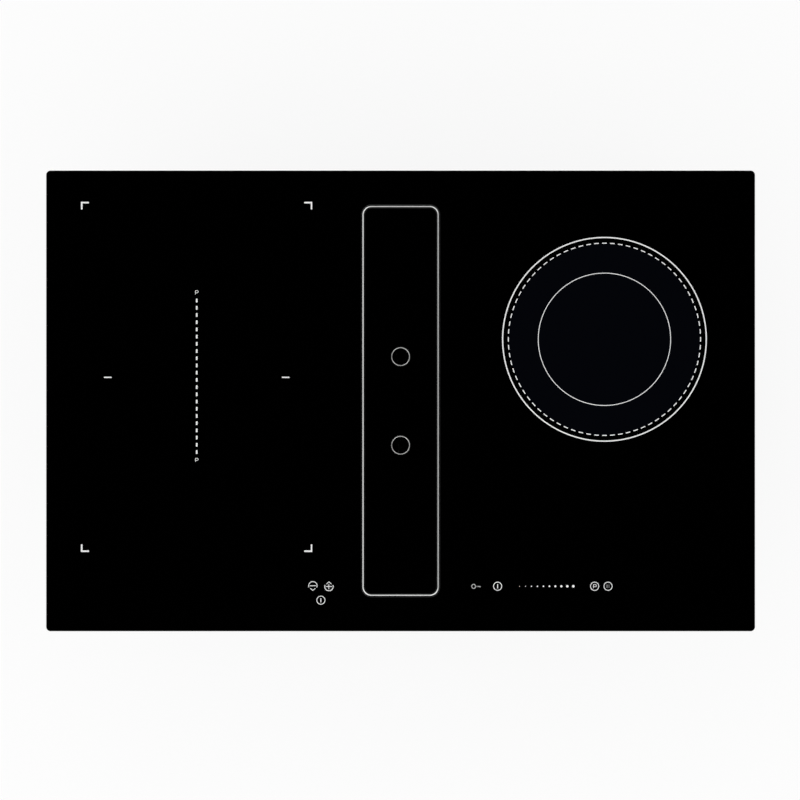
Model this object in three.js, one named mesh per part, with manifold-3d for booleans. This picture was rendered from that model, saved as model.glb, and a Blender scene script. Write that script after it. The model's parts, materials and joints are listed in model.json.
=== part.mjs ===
// Downdraft induction cooktop: a glass hob with a long extraction inlet in the
// middle and the blower, plenum and duct spigot hanging below it.
// Millimetres. +Z is up, +X to the right, +Y to the rear. z = 0 is the flat
// base of the extraction unit, x = y = 0 the middle of the glass.

import * as THREE from 'three';
import { mergeVertices } from 'three/addons/utils/BufferGeometryUtils.js';
import ManifoldModule from 'manifold-3d';

const wasm = await ManifoldModule();
wasm.setup();

// ------------------------------------------------------------ driving sizes

// Clearances
const TURN_GAP = 0.3;         // shaft to bore, arm to bolt head
const SLIP_GAP = 0.5;         // pieces that drop into each other by hand
const EASY_GAP = 1;           // sheet parts that only pass through

// Glass top
const GLASS_W = 800;
const GLASS_D = 520;
const GLASS_T = 4;
const GLASS_CORNER = 5;
const GLASS_BEVEL = 0.75;

// Worktop cut-out that the chassis drops into
const GLASS_LAP_W = 25;       // glass beyond the cut-out, left and right
const GLASS_LAP_D = 15;       // the same, front and rear
const CUTOUT_GAP = 4;
const CUTOUT_CORNER = 6;
const SEAL_T = 2;
const SEAL_W = 10;
const SEAL_INSET = 3;         // from the glass edge

// Units below the worktop
const EXTRACTOR_H = 150;
const SHEET_T = 1;            // folded steel sheet of the chassis
const FRAME_SKIRT_H = 14;
const FRAME_FLANGE = 8;

// Trim ring round the inlet
const TRIM_W = 87;
const TRIM_FROM_EDGE = 39.5;  // to the glass edge, front and rear
const TRIM_CORNER = 10.5;
const TRIM_RIM = 2;           // the bright line seen from above
const TRIM_LEDGE = 5;
const TRIM_LEDGE_T = 1.25;
const TRIM_FLANGE = 6;        // bonded under the glass
const TRIM_FLANGE_T = 1;
const TRIM_BEVEL = 0.25;

// Lift-out cover
const COVER_GAP = 0.8;
const COVER_BEVEL = 0.5;
const BACKING_T = 1.25;
const BACKING_INSET = 1.5;
const GASKET_T = 2;
const GASKET_W = 3;
const FINGER_RING_R = 10.5;
const FINGER_RING_WALL = 1;
const FINGER_RING_LIP = 2.5;
const FINGER_RING_LIP_T = 1;
const FINGER_SPACING = 100;

// Inlet shaft and grease filter
const SHAFT_PLAY = 2;
const SHAFT_WALL = 2;
const SHAFT_FLANGE = 12;
const SHAFT_FLANGE_T = 2;
const SHAFT_SEAT_T = 2;
const FILTER_DROP = 15;       // filter rim below the trim ring
const FILTER_H = 90;
const FILTER_RIM = 3;
const FILTER_SHEET = 1.25;
const FILTER_SLOT_W = 11;
const FILTER_SLOT_EDGE = 20;  // plain wall at each end
const FILTER_SLOT_PITCH = 20;
const FILTER_SLOT_MARGIN = 14;
const MESH_PACK_T = 7;
const MESH_PACK_TOP_GAP = 6;
const GRIP_W = 12;
const GRIP_T = 1.5;
const GRIP_RISE = 8;
const DRIP_TRAY_H = 30;
const DRIP_TRAY_WALL = 2;
const DRIP_TRAY_INSET = 1;

// Plenum
const PLENUM_SIDE = 19;       // beyond the shaft, left and right
const PLENUM_END = 17;        // the same, front and rear
const PLENUM_CORNER = 12;
const MOULD_WALL = 3;
const PLENUM_RIB_T = 2.5;
const PLENUM_RIB_DEPTH = 4;
const PLENUM_RIB_PITCH = 58;

// Blower
const FAN_X = 200;
const FAN_Y = -40;
const SCROLL_H = 103;
const SCROLL_CLEARANCE = 10;
const SCROLL_GROWTH = 0.08;   // of the spiral, a radian
const SCROLL_STEPS = 26;
const TONGUE_ANGLE = THREE.MathUtils.degToRad(55);
const TONGUE_R = 3;
const SEAM_LIP = 4;
const SEAM_LIP_T = 3;
const BOSS_R = 5;             // screw bosses round the seam
const BOSS_H = 14;
const BOSS_ANGLES = [92, 118, 245, 275, 305, 335].map(THREE.MathUtils.degToRad);
const BOSS_SHARES_RIGHT = [0.2, 0.5, 0.8];
const BOSS_SHARES_LEFT = [0.35, 0.8];
const HOOD_MARGIN = 12;       // round the bell mouth
const HOOD_WALL = 2.5;
const BELL_R = 12;
const BELL_WALL = 2;
const BELL_INSET = 6;         // of its throat inside the wheel's shroud

// Impeller and its external-rotor motor
const IMPELLER_R = 88;
const IMPELLER_Z = 20;
const IMPELLER_H = 68;
const IMPELLER_DISC_T = 2;
const SHROUD_W = 14;
const BLADE_COUNT = 24;
const BLADE_DEPTH = 16;
const BLADE_T = 1.5;
const BLADE_STEPS = 2;
const BLADE_LEAN = THREE.MathUtils.degToRad(10);
const ROTOR_R = 44;
const ROTOR_H = 46;
const ROTOR_WALL = 3;
const STATOR_GAP = 1;
const SHAFT_R = 4;
const MOTOR_SEAT_R = 34;
const MOTOR_SEAT_H = 9;
const MOTOR_BASE_T = 4;

// Outlet spigot for a flat duct, with two backdraft flaps
const DUCT_W = 222;
const DUCT_H = 89;
const DUCT_CORNER = 8;
const DUCT_WALL = 2.5;
const DUCT_BEAD = 1.2;        // holds the duct's sleeve
const DUCT_BEAD_L = 3;
const DUCT_BEAD_END = 8;
const DUCT_X = 250;
const DUCT_END_Y = 250;
const SPIGOT_L = 45;
const SPIGOT_FLANGE_T = 3;
const FLAP_STOP = 4;
const FLAP_STOP_L = 7;
const FLAP_T = 1.5;
const FLAP_EDGE_GAP = 0.75;
const FLAP_PIN_R = 2;
const FLAP_KNUCKLE_R = 4;
const FLAP_KNUCKLE_L = 12;
const FLAP_KNUCKLE_X = [-85, 30];
const FLAP_RIB_T = 1.5;
const FLAP_RIB_H = 1.5;
const FLAP_RIB_PITCH = 54;
const FLAP_RIB_COUNT = 4;
const FLAP_RIB_END = 4;

// Cooking zones
const ZONE_FROM_SIDE = 170;   // zone middle to the glass edge
const LEFT_COIL_FROM_REAR = 41.5;
const LEFT_COIL_SPACE = 13;   // between the two oblong coils
const LEFT_COIL_W = 225;
const LEFT_COIL_D = 185;
const LEFT_COIL_CORNER = 50;
const LEFT_WINDING_W = 60;
const RIGHT_ZONE_FROM_REAR = 190.5;
const OUTER_WINDING_R = 108;
const OUTER_WINDING_W = 30;
const INNER_WINDING_EYE_R = 28;
const WINDING_SPACE = 8;      // between the inner and the outer winding
const COIL_GAP = 3;           // windings to glass
const CARRIER_T = 4;
const CARRIER_EDGE = 4;       // rim of the carrier beside its winding
const CARRIER_EYE_R = 16;
const WINDING_T = 6;
const FERRITE_W = 14;
const FERRITE_T = 5;
const FERRITE_COUNT = 6;
const COIL_POST_R = 6;
const COIL_POST_H = 7;

// Aluminium shields, also the air channels over the electronics
const SHIELD_W = 244;
const SHIELD_T = 2;
const SHIELD_FOOT = 8;
const SHIELD_MARGIN = 8;      // beyond coils and fan, front and rear
const SHIELD_ROOM = 7;        // over the cooling fans

// Power electronics under each shield, from the cooling fan backwards
const LEFT_COOLER_FROM_ZONE = 45;
const RIGHT_COOLER_FROM_FRONT = 61.5;
const COOLER_SPACE = 4.5;     // fan to heat sink
const BOARD_SPACE = 5.5;      // heat sink to board
const PCB_T = 1.6;
const PCB_STANDOFF = 4;
const POWER_BOARD_W = 200;
const POWER_BOARD_D = 105;
const CAPACITOR_R = 11;
const CAPACITOR_H = 24;
const HEAT_SINK_W = 180;
const HEAT_SINK_D = 40;
const HEAT_SINK_H = 30;
const HEAT_SINK_BASE = 4;
const HEAT_SINK_FINS = 13;
const HEAT_SINK_FIN_T = 2;
const COOLER_SIZE = 75;
const COOLER_H = 30;
const COOLER_CORNER = 8;
const COOLER_WALL = 1.5;
const COOLER_BORE_R = 33;
const COOLER_OUTLET_W = 56;
const COOLER_WHEEL_R = 29;
const COOLER_WHEEL_H = 20;
const COOLER_HUB_R = 12;
const COOLER_BLADES = 9;
const COOLER_BLADE_T = 1.2;
const COOLER_STUD_R = 2;

// Vent slots in the chassis sheet
const VENT_L = 54;
const VENT_W = 4;
const VENT_PITCH = 8.5;
const VENT_COUNT = 7;
const WALL_VENT_W = 6;
const WALL_VENT_H = 26;
const WALL_VENT_PITCH = 20;
const WALL_VENT_COUNT = 8;

// Touch controls
const PAD_H = 3;
const PAD_R = 5;
const TOUCH_CARRIER_T = 4;
const TOUCH_RAIL_FROM_FRONT = 29;
const TOUCH_RAIL_D = 10;
const TOUCH_POST_R = 4;
const TOUCH_POST_X = [-104, -30, 60, 150, 240];
const HOB_BOARD_X = 159;
const HOB_BOARD_FROM_FRONT = 51;
const HOB_BOARD_W = 182;
const HOB_BOARD_D = 26;
const HOB_PADS = { count: 6, pitch: 27 };
const FAN_BOARD_X = -90;
const FAN_BOARD_FROM_FRONT = 48;
const FAN_BOARD_W = 50;
const FAN_BOARD_D = 40;
const FAN_KEY_X = 9;          // minus and plus, each side of the middle
const FAN_KEY_Y = 2;
const FAN_POWER_Y = -12;

// Mains terminal box
const TERMINAL_FROM_SIDE = 179.5;
const TERMINAL_FROM_REAR = 52.5;
const TERMINAL_W = 110;
const TERMINAL_D = 72;
const TERMINAL_H = 42;
const TERMINAL_WALL = 2.5;
const TERMINAL_CORNER = 6;
const LID_DEPTH = 8;
const LID_HINGE_Z = 5.5;      // pin below the chassis floor
const LID_PIN_R = 1.75;
const LID_KNUCKLE_R = 3.3;
const LID_KNUCKLE_L = 12;
const LID_KNUCKLE_X = 30;
const LID_EAR_X = 45;
const LID_EAR_T = 4;
const BLOCK_W = 80;
const BLOCK_D = 26;
const BLOCK_H = 18;
const BLOCK_POLES = 5;
const BLOCK_SCREW_R = 4;
const GLAND_THREAD_R = 8;
const GLAND_NUT_R = 11;
const GLAND_NUT_L = 14;
const GLAND_COLLAR_L = 4;
const GLAND_BORE_R = 5;
const GLAND_REACH = 9;        // inside the box

// Control box of the extraction unit
const CONTROL_W = 45;
const CONTROL_D = 140;
const CONTROL_H = 72;
const CONTROL_Z = 42;
const CONTROL_CORNER = 5;
const CONTROL_LID_T = 4;
const CONTROL_LIP = 1.5;
const CONTROL_SOCKETS = 3;
const CONTROL_SOCKET_PITCH = 26;

// Hold-down clamps
const CLAMP_FROM_SIDE = 23.5;
const CLAMP_FROM_END = 24.5;
const CLAMP_ARM_L = 50;
const CLAMP_ARM_W = 16;
const CLAMP_ARM_T = 2.5;
const CLAMP_DROP = 2.5;       // arm below the chassis floor
const CLAMP_BOLT_R = 2.5;
const CLAMP_HEAD_R = 5;
const CLAMP_HEAD_H = 4;
const CLAMP_PAD_R = 5;

// ------------------------------------------------------- heights worked out

const TRAY_Z = EXTRACTOR_H + SHAFT_FLANGE_T;
const FLOOR_Z = TRAY_Z + SHEET_T;
const SHIELD_TOP_Z = FLOOR_Z + COOLER_H + SHIELD_ROOM + SHIELD_T;
const CARRIER_Z = SHIELD_TOP_Z + COIL_POST_H;
const WINDING_Z = CARRIER_Z + CARRIER_T;
const GLASS_Z = WINDING_Z + WINDING_T + COIL_GAP;
const WORKTOP_Z = GLASS_Z - SEAL_T;
const TOP_Z = GLASS_Z + GLASS_T;
const BACKING_Z = GLASS_Z - BACKING_T;
const LEDGE_Z = BACKING_Z - GASKET_T;
const TRIM_Z = LEDGE_Z - TRIM_LEDGE_T;
const FILTER_SEAT_Z = TRIM_Z - FILTER_DROP;
const FILTER_TOP_Z = FILTER_SEAT_Z + FILTER_SHEET;
const FILTER_Z = FILTER_TOP_Z - FILTER_H;
const SCROLL_LID_Z = SCROLL_H - MOULD_WALL;
const IMPELLER_TOP_Z = IMPELLER_Z + IMPELLER_H;
const TOUCH_PCB_Z = GLASS_Z - PAD_H - PCB_T;
const CLAMP_ARM_Z = TRAY_Z - CLAMP_DROP - CLAMP_ARM_T;

// --------------------------------------------- widths and places worked out

const FRAME_W = GLASS_W - 2 * (GLASS_LAP_W + CUTOUT_GAP);
const FRAME_D = GLASS_D - 2 * (GLASS_LAP_D + CUTOUT_GAP);
const TRAY_W = FRAME_W - 2 * (SHEET_T + SLIP_GAP);
const TRAY_D = FRAME_D - 2 * (SHEET_T + SLIP_GAP);
const TRIM_L = GLASS_D - 2 * TRIM_FROM_EDGE;
const COVER_SEAT_W = TRIM_W - 2 * TRIM_RIM;
const COVER_SEAT_L = TRIM_L - 2 * TRIM_RIM;
const COVER_SEAT_CORNER = TRIM_CORNER - TRIM_RIM;
const THROAT_W = COVER_SEAT_W - 2 * TRIM_LEDGE;
const THROAT_L = COVER_SEAT_L - 2 * TRIM_LEDGE;
const THROAT_CORNER = COVER_SEAT_CORNER - TRIM_LEDGE;
const FILTER_RIM_W = THROAT_W - 2 * SLIP_GAP;
const FILTER_RIM_L = THROAT_L - 2 * SLIP_GAP;
const FILTER_W = FILTER_RIM_W - 2 * FILTER_RIM;
const FILTER_L = FILTER_RIM_L - 2 * FILTER_RIM;
const SHAFT_W = FILTER_RIM_W + 2 * SHAFT_PLAY;
const SHAFT_L = FILTER_RIM_L + 2 * SHAFT_PLAY;
const SHAFT_OUTER_W = SHAFT_W + 2 * SHAFT_WALL;
const SHAFT_OUTER_L = SHAFT_L + 2 * SHAFT_WALL;
const COLLAR_W = SHAFT_OUTER_W + 2 * EASY_GAP;
const COLLAR_L = SHAFT_OUTER_L + 2 * EASY_GAP;
const DRIP_TRAY_W = FILTER_W - 2 * DRIP_TRAY_INSET;
const DRIP_TRAY_L = FILTER_L - 2 * DRIP_TRAY_INSET;
const PLENUM_W = SHAFT_W + 2 * PLENUM_SIDE;
const PLENUM_L = SHAFT_L + 2 * PLENUM_END;
const INNER_CORNER = 3;
const MOUTH_R = IMPELLER_R - SHROUD_W - BELL_INSET + BELL_R;
const HOOD_R = MOUTH_R + HOOD_MARGIN;

const ZONE_X = GLASS_W / 2 - ZONE_FROM_SIDE;
const LEFT_COIL_PITCH = LEFT_COIL_D + LEFT_COIL_SPACE;
const LEFT_ZONE_Y = GLASS_D / 2 - LEFT_COIL_FROM_REAR - (LEFT_COIL_PITCH + LEFT_COIL_D) / 2;
const RIGHT_ZONE_Y = GLASS_D / 2 - RIGHT_ZONE_FROM_REAR;
const RIGHT_COIL_R = OUTER_WINDING_R + CARRIER_EDGE;
const INNER_WINDING_R = OUTER_WINDING_R - OUTER_WINDING_W - WINDING_SPACE;
const LEFT_COOLER_Y = LEFT_ZONE_Y - LEFT_COOLER_FROM_ZONE;
const RIGHT_COOLER_Y = RIGHT_COOLER_FROM_FRONT - TRAY_D / 2;
const HEAT_SINK_Y = COOLER_SIZE / 2 + COOLER_SPACE + HEAT_SINK_D / 2;
const POWER_BOARD_Y = HEAT_SINK_Y + HEAT_SINK_D / 2 + BOARD_SPACE + POWER_BOARD_D / 2;
const TOUCH_RAIL_Y = TOUCH_RAIL_FROM_FRONT - GLASS_D / 2;
const HOB_BOARD_Y = HOB_BOARD_FROM_FRONT - GLASS_D / 2;
const FAN_BOARD_Y = FAN_BOARD_FROM_FRONT - GLASS_D / 2;
const TERMINAL_X = TERMINAL_FROM_SIDE - TRAY_W / 2;
const TERMINAL_Y = TRAY_D / 2 - TERMINAL_FROM_REAR;
const CLAMP_X = TRAY_W / 2 - CLAMP_FROM_SIDE;
const CLAMP_Y = TRAY_D / 2 - CLAMP_FROM_END;

// ------------------------------------------------------------------ helpers

const FULL_TURN = 2 * Math.PI;
const QUARTER = Math.PI / 2;
const CUT = 1;                // how far a cutting tool runs past a face
const FINE_CORNER = 5;        // steps of a rounded corner that shows
const SINK = 0.4;             // how far joined features run into each other

const polar = (radius, angle) =>
  new THREE.Vector2(radius * Math.cos(angle), radius * Math.sin(angle));

function arcPoints(x, y, radius, from, to, steps) {
  return Array.from({ length: steps + 1 }, (_, i) =>
    polar(radius, from + ((to - from) * i) / steps).add(new THREE.Vector2(x, y)));
}

function roundedRect(width, depth, radius, x = 0, y = 0, steps = 3) {
  const points = [];
  for (let corner = 0; corner < 4; corner++) {
    const sideX = corner === 0 || corner === 3 ? 1 : -1;
    const sideY = corner < 2 ? 1 : -1;
    const centreX = x + sideX * (width / 2 - radius);
    const centreY = y + sideY * (depth / 2 - radius);
    const from = corner * QUARTER;
    points.push(...arcPoints(centreX, centreY, radius, from, from + QUARTER, steps));
  }
  return new THREE.Shape(points);
}

function rectangle(width, depth, x = 0, y = 0) {
  return new THREE.Shape([
    new THREE.Vector2(x - width / 2, y - depth / 2),
    new THREE.Vector2(x + width / 2, y - depth / 2),
    new THREE.Vector2(x + width / 2, y + depth / 2),
    new THREE.Vector2(x - width / 2, y + depth / 2),
  ]);
}

function circle(radius, x = 0, y = 0, steps = 16) {
  return new THREE.Shape(arcPoints(x, y, radius, 0, FULL_TURN, steps).slice(0, -1));
}

function withHoles(shape, ...holes) {
  shape.holes.push(...holes);
  return shape;
}

// A closed three.js geometry as a solid that can be joined and cut
function toSolid(geometry) {
  geometry.deleteAttribute('normal');
  geometry.deleteAttribute('uv');
  const merged = mergeVertices(geometry);
  return new wasm.Manifold(new wasm.Mesh({
    numProp: 3,
    vertProperties: merged.attributes.position.array,
    triVerts: Uint32Array.from(merged.index.array),
  }));
}

function toGeometry(solid) {
  const mesh = solid.getMesh();
  const geometry = new THREE.BufferGeometry();
  geometry.setAttribute('position', new THREE.BufferAttribute(mesh.vertProperties, 3));
  geometry.setIndex(new THREE.BufferAttribute(mesh.triVerts, 1));
  geometry.computeVertexNormals();
  return geometry;
}

const join = (solids) => solids.reduce((all, next) => all.add(next));
const cutAway = (solid, tools) => tools.reduce((rest, tool) => rest.subtract(tool), solid);

function extrude(shape, length) {
  return new THREE.ExtrudeGeometry(shape, { depth: length, bevelEnabled: false });
}

// Prisms along Z, X and Y; a section along X is drawn in (y, z), along Y in (x, z)
function prism(shape, z0, z1) {
  return toSolid(extrude(shape, z1 - z0).translate(0, 0, z0));
}

function prismX(section, x0, x1) {
  const turn = new THREE.Matrix4().set(0, 0, 1, 0, 1, 0, 0, 0, 0, 1, 0, 0, 0, 0, 0, 1);
  return toSolid(extrude(section, x1 - x0).translate(0, 0, x0).applyMatrix4(turn));
}

function prismY(section, y0, y1) {
  const turn = new THREE.Matrix4().set(1, 0, 0, 0, 0, 0, -1, 0, 0, 1, 0, 0, 0, 0, 0, 1);
  return toSolid(extrude(section, y1 - y0).translate(0, 0, -y1).applyMatrix4(turn));
}

// A plate whose edges, also those of its holes, are ground to a bevel
function bevelledPlate(shape, z0, z1, bevel) {
  const geometry = new THREE.ExtrudeGeometry(shape, {
    depth: z1 - z0 - 2 * bevel,
    bevelThickness: bevel,
    bevelSize: bevel,
    bevelOffset: -bevel,
    bevelSegments: 1,
  });
  return toSolid(geometry.translate(0, 0, z0 + bevel));
}

// A profile of [radius, height] pairs, drawn anticlockwise, turned about Z
function revolve(profile, steps = 24) {
  const points = profile.map(([radius, height]) => new THREE.Vector2(radius, height));
  const onAxis = points[0].x === 0 && points.at(-1).x === 0;
  if (!onAxis) points.push(points[0].clone());
  return toSolid(new THREE.LatheGeometry(points, steps).rotateX(QUARTER));
}

function part(name, solid, material) {
  const mesh = new THREE.Mesh(toGeometry(solid), material);
  mesh.name = name;
  return mesh;
}

function groupAt(x, y, meshes) {
  const group = new THREE.Group();
  group.position.set(x, y, 0);
  group.add(...meshes);
  return group;
}

// ---------------------------------------------------------------- materials

const paint = (color, roughness, metalness) =>
  new THREE.MeshStandardMaterial({ color, roughness, metalness });

const blackGlass = paint(0x030304, 0.05, 0);
const stainless = paint(0xb9bcbe, 0.3, 1);
const zincSheet = paint(0x9a9fa3, 0.5, 0.9);
const aluminium = paint(0xc4c7ca, 0.42, 0.9);
const meshAluminium = paint(0xa9adb0, 0.6, 0.8);
const copper = paint(0xa85a32, 0.45, 0.8);
const foam = paint(0x17181a, 0.95, 0);
const silicone = paint(0x2a2b2d, 0.8, 0);
const blackPlastic = paint(0x1b1c1e, 0.55, 0);
const greyPlastic = paint(0x6c7074, 0.6, 0);
const whitePlastic = paint(0xdadbd8, 0.5, 0);
const coilPlastic = paint(0xc9c2b4, 0.7, 0);
const circuitBoard = paint(0x1f5a38, 0.6, 0);
const motorSteel = paint(0x55585c, 0.5, 0.8);

// ---------------------------------------------------------- glass and cover

function glassTop() {
  const opening = roundedRect(
    TRIM_W + 2 * SLIP_GAP, TRIM_L + 2 * SLIP_GAP, TRIM_CORNER + SLIP_GAP, 0, 0, FINE_CORNER);
  const outline = withHoles(
    roundedRect(GLASS_W, GLASS_D, GLASS_CORNER, 0, 0, FINE_CORNER), opening);
  return part('glass_top', bevelledPlate(outline, GLASS_Z, TOP_Z, GLASS_BEVEL), blackGlass);
}

function perimeterSeal() {
  const width = GLASS_W - 2 * SEAL_INSET;
  const depth = GLASS_D - 2 * SEAL_INSET;
  const inner = roundedRect(width - 2 * SEAL_W, depth - 2 * SEAL_W, INNER_CORNER);
  const outline = withHoles(roundedRect(width, depth, GLASS_CORNER), inner);
  return part('perimeter_seal', prism(outline, WORKTOP_Z, GLASS_Z), foam);
}

const coverSeat = () => roundedRect(
  COVER_SEAT_W, COVER_SEAT_L, COVER_SEAT_CORNER, 0, 0, FINE_CORNER);
const trimOutline = () => roundedRect(TRIM_W, TRIM_L, TRIM_CORNER, 0, 0, FINE_CORNER);

function inletTrim() {
  const rim = bevelledPlate(withHoles(trimOutline(), coverSeat()), TRIM_Z, TOP_Z, TRIM_BEVEL);
  const throat = roundedRect(THROAT_W, THROAT_L, THROAT_CORNER);
  const ledge = prism(withHoles(trimOutline(), throat), TRIM_Z, LEDGE_Z);
  const flangeOutline = roundedRect(
    TRIM_W + 2 * TRIM_FLANGE, TRIM_L + 2 * TRIM_FLANGE, TRIM_CORNER + TRIM_FLANGE);
  const flange = prism(withHoles(flangeOutline, coverSeat()), GLASS_Z - TRIM_FLANGE_T, GLASS_Z);
  return part('inlet_trim', join([rim, ledge, flange]), stainless);
}

const fingerHoles = (radius) =>
  [-1, 1].map((side) => circle(radius, 0, side * FINGER_SPACING / 2, 20));

function coverGlass() {
  const outline = withHoles(
    roundedRect(
      COVER_SEAT_W - 2 * COVER_GAP, COVER_SEAT_L - 2 * COVER_GAP, COVER_SEAT_CORNER - COVER_GAP,
      0, 0, FINE_CORNER),
    ...fingerHoles(FINGER_RING_R + TURN_GAP));
  return part('cover_glass', bevelledPlate(outline, GLASS_Z, TOP_Z, COVER_BEVEL), blackGlass);
}

function coverBacking() {
  const inset = COVER_GAP + BACKING_INSET;
  const outline = withHoles(
    roundedRect(COVER_SEAT_W - 2 * inset, COVER_SEAT_L - 2 * inset, COVER_SEAT_CORNER - inset),
    ...fingerHoles(FINGER_RING_R + TURN_GAP));
  return part('cover_backing', prism(outline, BACKING_Z, GLASS_Z), stainless);
}

function coverGasket() {
  const width = THROAT_W + 2 * (TRIM_LEDGE - COVER_GAP);
  const length = THROAT_L + 2 * (TRIM_LEDGE - COVER_GAP);
  const inner = roundedRect(width - 2 * GASKET_W, length - 2 * GASKET_W, THROAT_CORNER);
  const outline = withHoles(roundedRect(width, length, THROAT_CORNER + GASKET_W), inner);
  return part('cover_gasket', prism(outline, LEDGE_Z, BACKING_Z), silicone);
}

function fingerRing(name, side) {
  const inner = FINGER_RING_R - FINGER_RING_WALL;
  const lip = FINGER_RING_R + FINGER_RING_LIP;
  const lipZ = BACKING_Z - FINGER_RING_LIP_T;
  const edge = FINGER_RING_WALL / 4;
  const ring = revolve([
    [inner, lipZ],
    [lip, lipZ],
    [lip, BACKING_Z],
    [FINGER_RING_R, BACKING_Z],
    [FINGER_RING_R, TOP_Z - edge],
    [FINGER_RING_R - edge, TOP_Z],
    [inner + edge, TOP_Z],
    [inner, TOP_Z - edge],
  ]);
  const mesh = part(name, ring, stainless);
  mesh.position.y = side * FINGER_SPACING / 2;
  return mesh;
}

// ---------------------------------------------------- shaft, filter and tray

function inletShaft() {
  const bore = () => roundedRect(SHAFT_W, SHAFT_L, INNER_CORNER);
  const outerCorner = INNER_CORNER + SHAFT_WALL;
  const wall = prism(
    withHoles(roundedRect(SHAFT_OUTER_W, SHAFT_OUTER_L, outerCorner), bore()),
    EXTRACTOR_H, TRIM_Z);
  const flange = prism(
    withHoles(
      roundedRect(
        SHAFT_OUTER_W + 2 * SHAFT_FLANGE, SHAFT_OUTER_L + 2 * SHAFT_FLANGE, outerCorner),
      bore()),
    EXTRACTOR_H, TRAY_Z);
  const seat = prism(
    withHoles(
      roundedRect(SHAFT_W + SHAFT_WALL, SHAFT_L + SHAFT_WALL, INNER_CORNER),
      roundedRect(FILTER_W + 2 * FLAP_EDGE_GAP, FILTER_L + 2 * FLAP_EDGE_GAP, INNER_CORNER)),
    FILTER_SEAT_Z - SHAFT_SEAT_T, FILTER_SEAT_Z);
  return part('inlet_shaft', join([wall, flange, seat]), blackPlastic);
}

// Stainless basket: rim, slotted long walls and a floor with weep holes
function filterBasket() {
  const inside = roundedRect(
    FILTER_W - 2 * FILTER_SHEET, FILTER_L - 2 * FILTER_SHEET, INNER_CORNER - FILTER_SHEET);
  const body = prism(roundedRect(FILTER_W, FILTER_L, INNER_CORNER), FILTER_Z, FILTER_TOP_Z);
  const rim = prism(
    roundedRect(FILTER_RIM_W, FILTER_RIM_L, INNER_CORNER), FILTER_SEAT_Z, FILTER_TOP_Z);
  const shell = body.add(rim).subtract(
    prism(inside, FILTER_Z + FILTER_SHEET, FILTER_TOP_Z + CUT));
  const slotH = FILTER_H - 2 * FILTER_SLOT_MARGIN;
  const slotZ = FILTER_Z + FILTER_H / 2;
  const count = Math.floor((FILTER_L - 2 * FILTER_SLOT_EDGE) / FILTER_SLOT_PITCH);
  const slots = [];
  for (let i = 0; i < count; i++) {
    const y = (i - (count - 1) / 2) * FILTER_SLOT_PITCH;
    slots.push(prismX(rectangle(FILTER_SLOT_W, slotH, y, slotZ), -FILTER_W, FILTER_W));
  }
  return part('filter_basket', cutAway(shell, slots), stainless);
}

// Layered aluminium mesh folded to a V, from the rim down to the basket floor
function filterMesh() {
  const half = FILTER_W / 2 - FILTER_SHEET - TURN_GAP;
  const bottom = FILTER_Z + FILTER_SHEET + TURN_GAP;
  const top = FILTER_TOP_Z - MESH_PACK_TOP_GAP;
  const foot = MESH_PACK_T;
  const section = new THREE.Shape([
    new THREE.Vector2(-half, top),
    new THREE.Vector2(-half, top - MESH_PACK_T),
    new THREE.Vector2(-foot, bottom),
    new THREE.Vector2(foot, bottom),
    new THREE.Vector2(half, top - MESH_PACK_T),
    new THREE.Vector2(half, top),
    new THREE.Vector2(half - MESH_PACK_T, top),
    new THREE.Vector2(foot / 2, bottom + MESH_PACK_T),
    new THREE.Vector2(-foot / 2, bottom + MESH_PACK_T),
    new THREE.Vector2(-half + MESH_PACK_T, top),
  ]);
  const halfL = FILTER_L / 2 - FILTER_SHEET - EASY_GAP;
  return part('filter_mesh', prismY(section, -halfL, halfL), meshAluminium);
}

// Strap over the V, pinched between finger and thumb to lift the filter out
function filterGrip() {
  const half = FILTER_W / 2 - FILTER_SHEET - TURN_GAP;
  const base = FILTER_TOP_Z - MESH_PACK_TOP_GAP;
  const top = base + GRIP_RISE;
  const section = new THREE.Shape([
    new THREE.Vector2(-half, base),
    new THREE.Vector2(-half + 2 * GRIP_T, base),
    new THREE.Vector2(-half + GRIP_RISE + GRIP_T, top - GRIP_T),
    new THREE.Vector2(half - GRIP_RISE - GRIP_T, top - GRIP_T),
    new THREE.Vector2(half - 2 * GRIP_T, base),
    new THREE.Vector2(half, base),
    new THREE.Vector2(half, base + GRIP_T),
    new THREE.Vector2(half - GRIP_RISE, top),
    new THREE.Vector2(-half + GRIP_RISE, top),
    new THREE.Vector2(-half, base + GRIP_T),
  ]);
  return part('filter_grip', prismY(section, -GRIP_W / 2, GRIP_W / 2), stainless);
}

function dripTray() {
  const outer = roundedRect(DRIP_TRAY_W, DRIP_TRAY_L, INNER_CORNER);
  const inner = roundedRect(
    DRIP_TRAY_W - 2 * DRIP_TRAY_WALL, DRIP_TRAY_L - 2 * DRIP_TRAY_WALL,
    INNER_CORNER - DRIP_TRAY_WALL / 2);
  const shell = prism(outer, MOULD_WALL, MOULD_WALL + DRIP_TRAY_H)
    .subtract(prism(inner, MOULD_WALL + DRIP_TRAY_WALL, MOULD_WALL + DRIP_TRAY_H + CUT));
  return part('drip_tray', shell, greyPlastic);
}

// ------------------------------------------------------------------- plenum

const plenumOutline = (grow) => roundedRect(
  PLENUM_W + 2 * grow, PLENUM_L + 2 * grow, PLENUM_CORNER + grow);

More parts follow.
